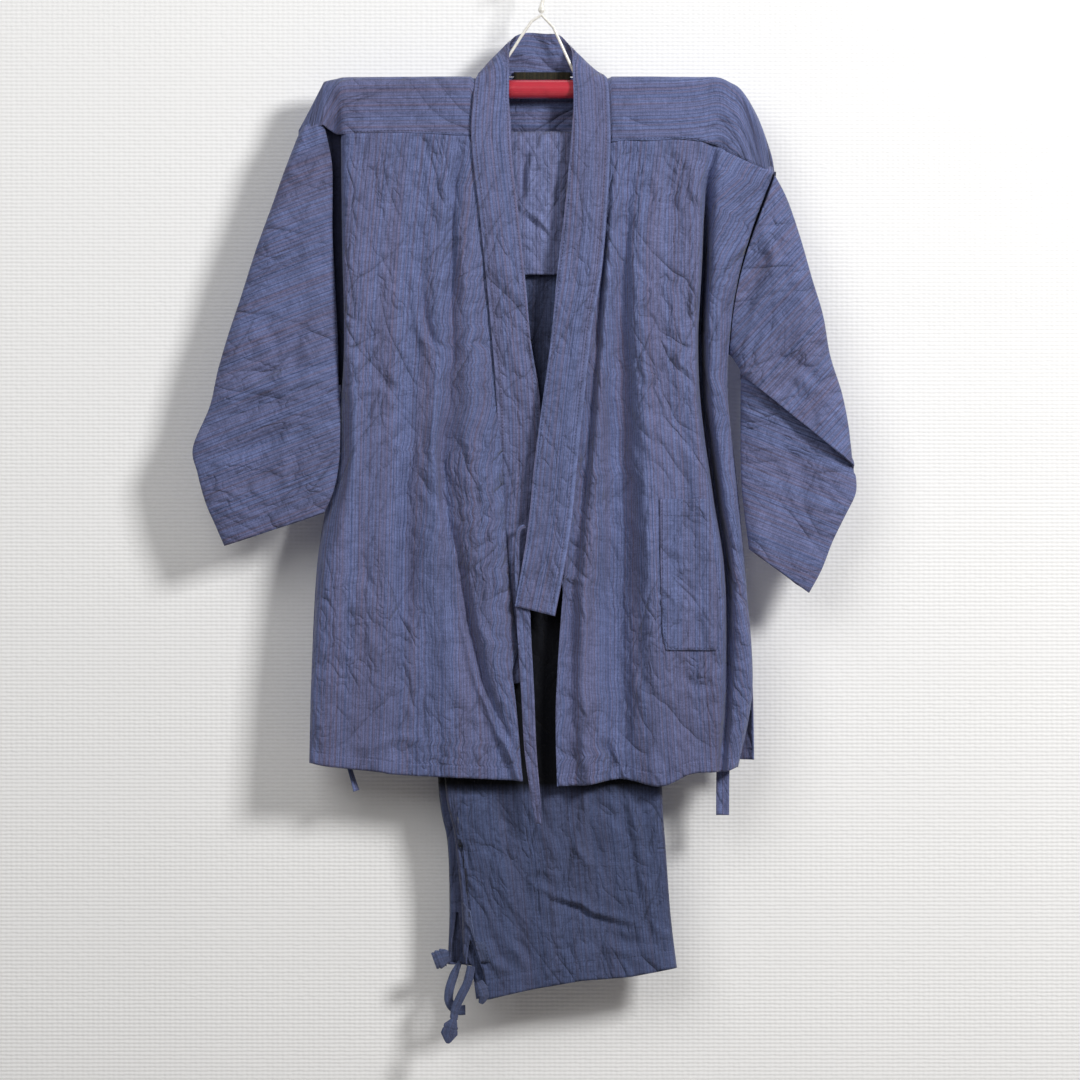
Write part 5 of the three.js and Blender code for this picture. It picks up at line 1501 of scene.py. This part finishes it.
@dataclass
class Hanger:
    """The rod, the lower bar, the wire loop, the hook and the links, which keep their CAD form."""

    red: tuple[str, ...] = ("rod",)
    white: tuple[str, ...] = ("bar", "bail", "hook", "link_right", "link_left")

    def build(self) -> None:
        """Dresses the CAD nodes."""
        for names, finish in ((self.red, RED_LACQUER), (self.white, WHITE_WIRE)):
            material = finish.make()
            for name in names:
                piece = frame["nodes"][name]
                piece.data.materials.clear()
                piece.data.materials.append(material)
                piece.data.polygons.foreach_set("use_smooth", [True] * len(piece.data.polygons))
                LOG.info("%s: dressed", name)


@dataclass
class Studio:
    """A pale wall behind, a pale floor, soft lights and a level camera."""

    picture: float = 1.08  # the width that the camera sees at the garment
    middle: float = -0.57
    distance: float = 5.0
    wall_y: float = 0.052
    floor_z: float = -1.45
    wide: float = 7.0  # the first side of the wall and of the floor
    wall_paint: Triple = (0.9, 0.895, 0.885)
    floor_paint: Triple = (0.22, 0.2, 0.18)
    pitches: tuple[float, float] = (0.0052, 0.0040)  # of the wall's embossing, across and down
    emboss: float = 0.00012
    sky: Triple = (0.94, 0.96, 1.0)
    sky_power: float = 0.17

    def build(self) -> None:
        """Builds the camera, the wall, the floor and the lights."""
        scene = bpy.context.scene
        camera = bpy.data.objects.new("camera", bpy.data.cameras.new("camera"))
        scene.collection.objects.link(camera)
        camera.location = (0, -self.distance, self.middle)
        camera.rotation_euler = (math.pi / 2, 0, 0)
        camera.data.lens = 36 * (self.distance - 0.02) / self.picture
        camera.data.clip_end = 50
        scene.camera = camera
        scene.view_settings.view_transform = "Standard"
        self.plane("wall", (0, self.wall_y, 0.2), (math.pi / 2, 0, 0), 3.3, self.wall_paint)
        self.plane("floor", (0, -1.4, self.floor_z), (0, 0, 0), 3.0, self.floor_paint)
        self.light("key", (1.7, -2.0, 0.7), 0.6, 66)
        self.light("fill", (-1.3, -2.6, 1.1), 2.2, 40)
        self.light("rear", (0.8, 2.6, 0.8), 1.8, 26)
        world_light = bpy.data.worlds.new("world")
        world_light.use_nodes = True
        background = world_light.node_tree.nodes["Background"]
        background.inputs[0].default_value = (*self.sky, 1)
        background.inputs[1].default_value = self.sky_power
        scene.world = world_light

    def plane(self, name: str, place: Triple, turn: Triple, deep: float, paint: Triple) -> None:
        """Adds an embossed plane that is clear from behind and lets light through.

        Args:
            name: the plane's name.
            place: its middle, in metres.
            turn: its rotation, in radians.
            deep: its second side, in metres.
            paint: its colour.
        """
        bpy.ops.object.select_all(action="DESELECT")
        bpy.ops.mesh.primitive_plane_add(size=1, location=place, rotation=turn, scale=(1, 1, 1))
        piece = bpy.context.object
        piece.name = name
        piece.scale = (self.wide, deep, 1)
        bpy.ops.object.transform_apply(location=True, rotation=True, scale=True)
        material = bpy.data.materials.new(name + "_paint")
        material.use_nodes = True
        tree = material.node_tree
        shader, end = tree.nodes["Principled BSDF"], tree.nodes["Material Output"]
        shader.inputs["Base Color"].default_value = (*paint, 1)
        shader.inputs["Roughness"].default_value = 0.9
        place_node, parts = node(tree, "ShaderNodeTexCoord"), tree.nodes.new("ShaderNodeSeparateXYZ")
        tree.links.new(place_node.outputs["Object"], parts.inputs[0])
        drift = node(tree, "ShaderNodeTexNoise", Scale=160.0, Detail=1.0)
        tree.links.new(place_node.outputs["Object"], drift.inputs["Vector"])
        waves = []
        for output, pitch in zip((0, 2), self.pitches):
            sway = math_node(tree, "MULTIPLY", drift.outputs["Fac"], 1.6)
            phase = math_node(tree, "MULTIPLY_ADD", parts.outputs[output], 2 * math.pi / pitch, sway)
            waves.append(math_node(tree, "SINE", phase))
        rough = math_node(tree, "MULTIPLY_ADD", drift.outputs["Fac"], 2.0, waves[1])
        relief = math_node(tree, "MULTIPLY_ADD", waves[0], 0.45, rough)
        bump = node(tree, "ShaderNodeBump", Strength=1.0, Distance=self.emboss)
        tree.links.new(relief, bump.inputs["Height"])
        tree.links.new(bump.outputs[0], shader.inputs["Normal"])
        clear, mix = tree.nodes.new("ShaderNodeBsdfTransparent"), tree.nodes.new("ShaderNodeMixShader")
        facing, ray = tree.nodes.new("ShaderNodeNewGeometry"), tree.nodes.new("ShaderNodeLightPath")
        tree.links.new(math_node(tree, "MAXIMUM", facing.outputs["Backfacing"], ray.outputs["Is Shadow Ray"]),
                       mix.inputs[0])
        tree.links.new(shader.outputs[0], mix.inputs[1])
        tree.links.new(clear.outputs[0], mix.inputs[2])
        tree.links.new(mix.outputs[0], end.inputs[0])
        piece.data.materials.append(material)

    def light(self, name: str, place: Triple, size: float, power: float) -> None:
        """Adds a square soft light that looks at the garment."""
        data = bpy.data.lights.new(name, "AREA")
        data.size, data.energy = size, power
        lamp = bpy.data.objects.new(name, data)
        bpy.context.scene.collection.objects.link(lamp)
        lamp.location = place
        lamp.rotation_euler = (Vector((0, 0, self.middle)) - Vector(place)).to_track_quat("-Z", "Y").to_euler()


def main() -> None:
    """Builds the studio, the trousers, the jacket and the hanger."""
    logging.basicConfig(level=logging.INFO, format="%(name)s %(message)s")
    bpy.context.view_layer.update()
    Studio().build()
    group = stripe_group()
    Trousers().build(TROUSER_CLOTH_PAINTED_SHADE.make(group), WAIST_CLOTH_PAINTED_LIGHT.make(group), LEG_TIE_CLOTH_PAINTED_SHADE.make(group),
                     TROUSER_THREAD.make(group))
    Jacket().build(JACKET_CLOTH.make(group), THREAD.make(group), LABEL_TAPE.make(group), SEAM_PAINTED_SHADE.make(group))
    Hanger().build()


if __name__ == "__main__":
    main()
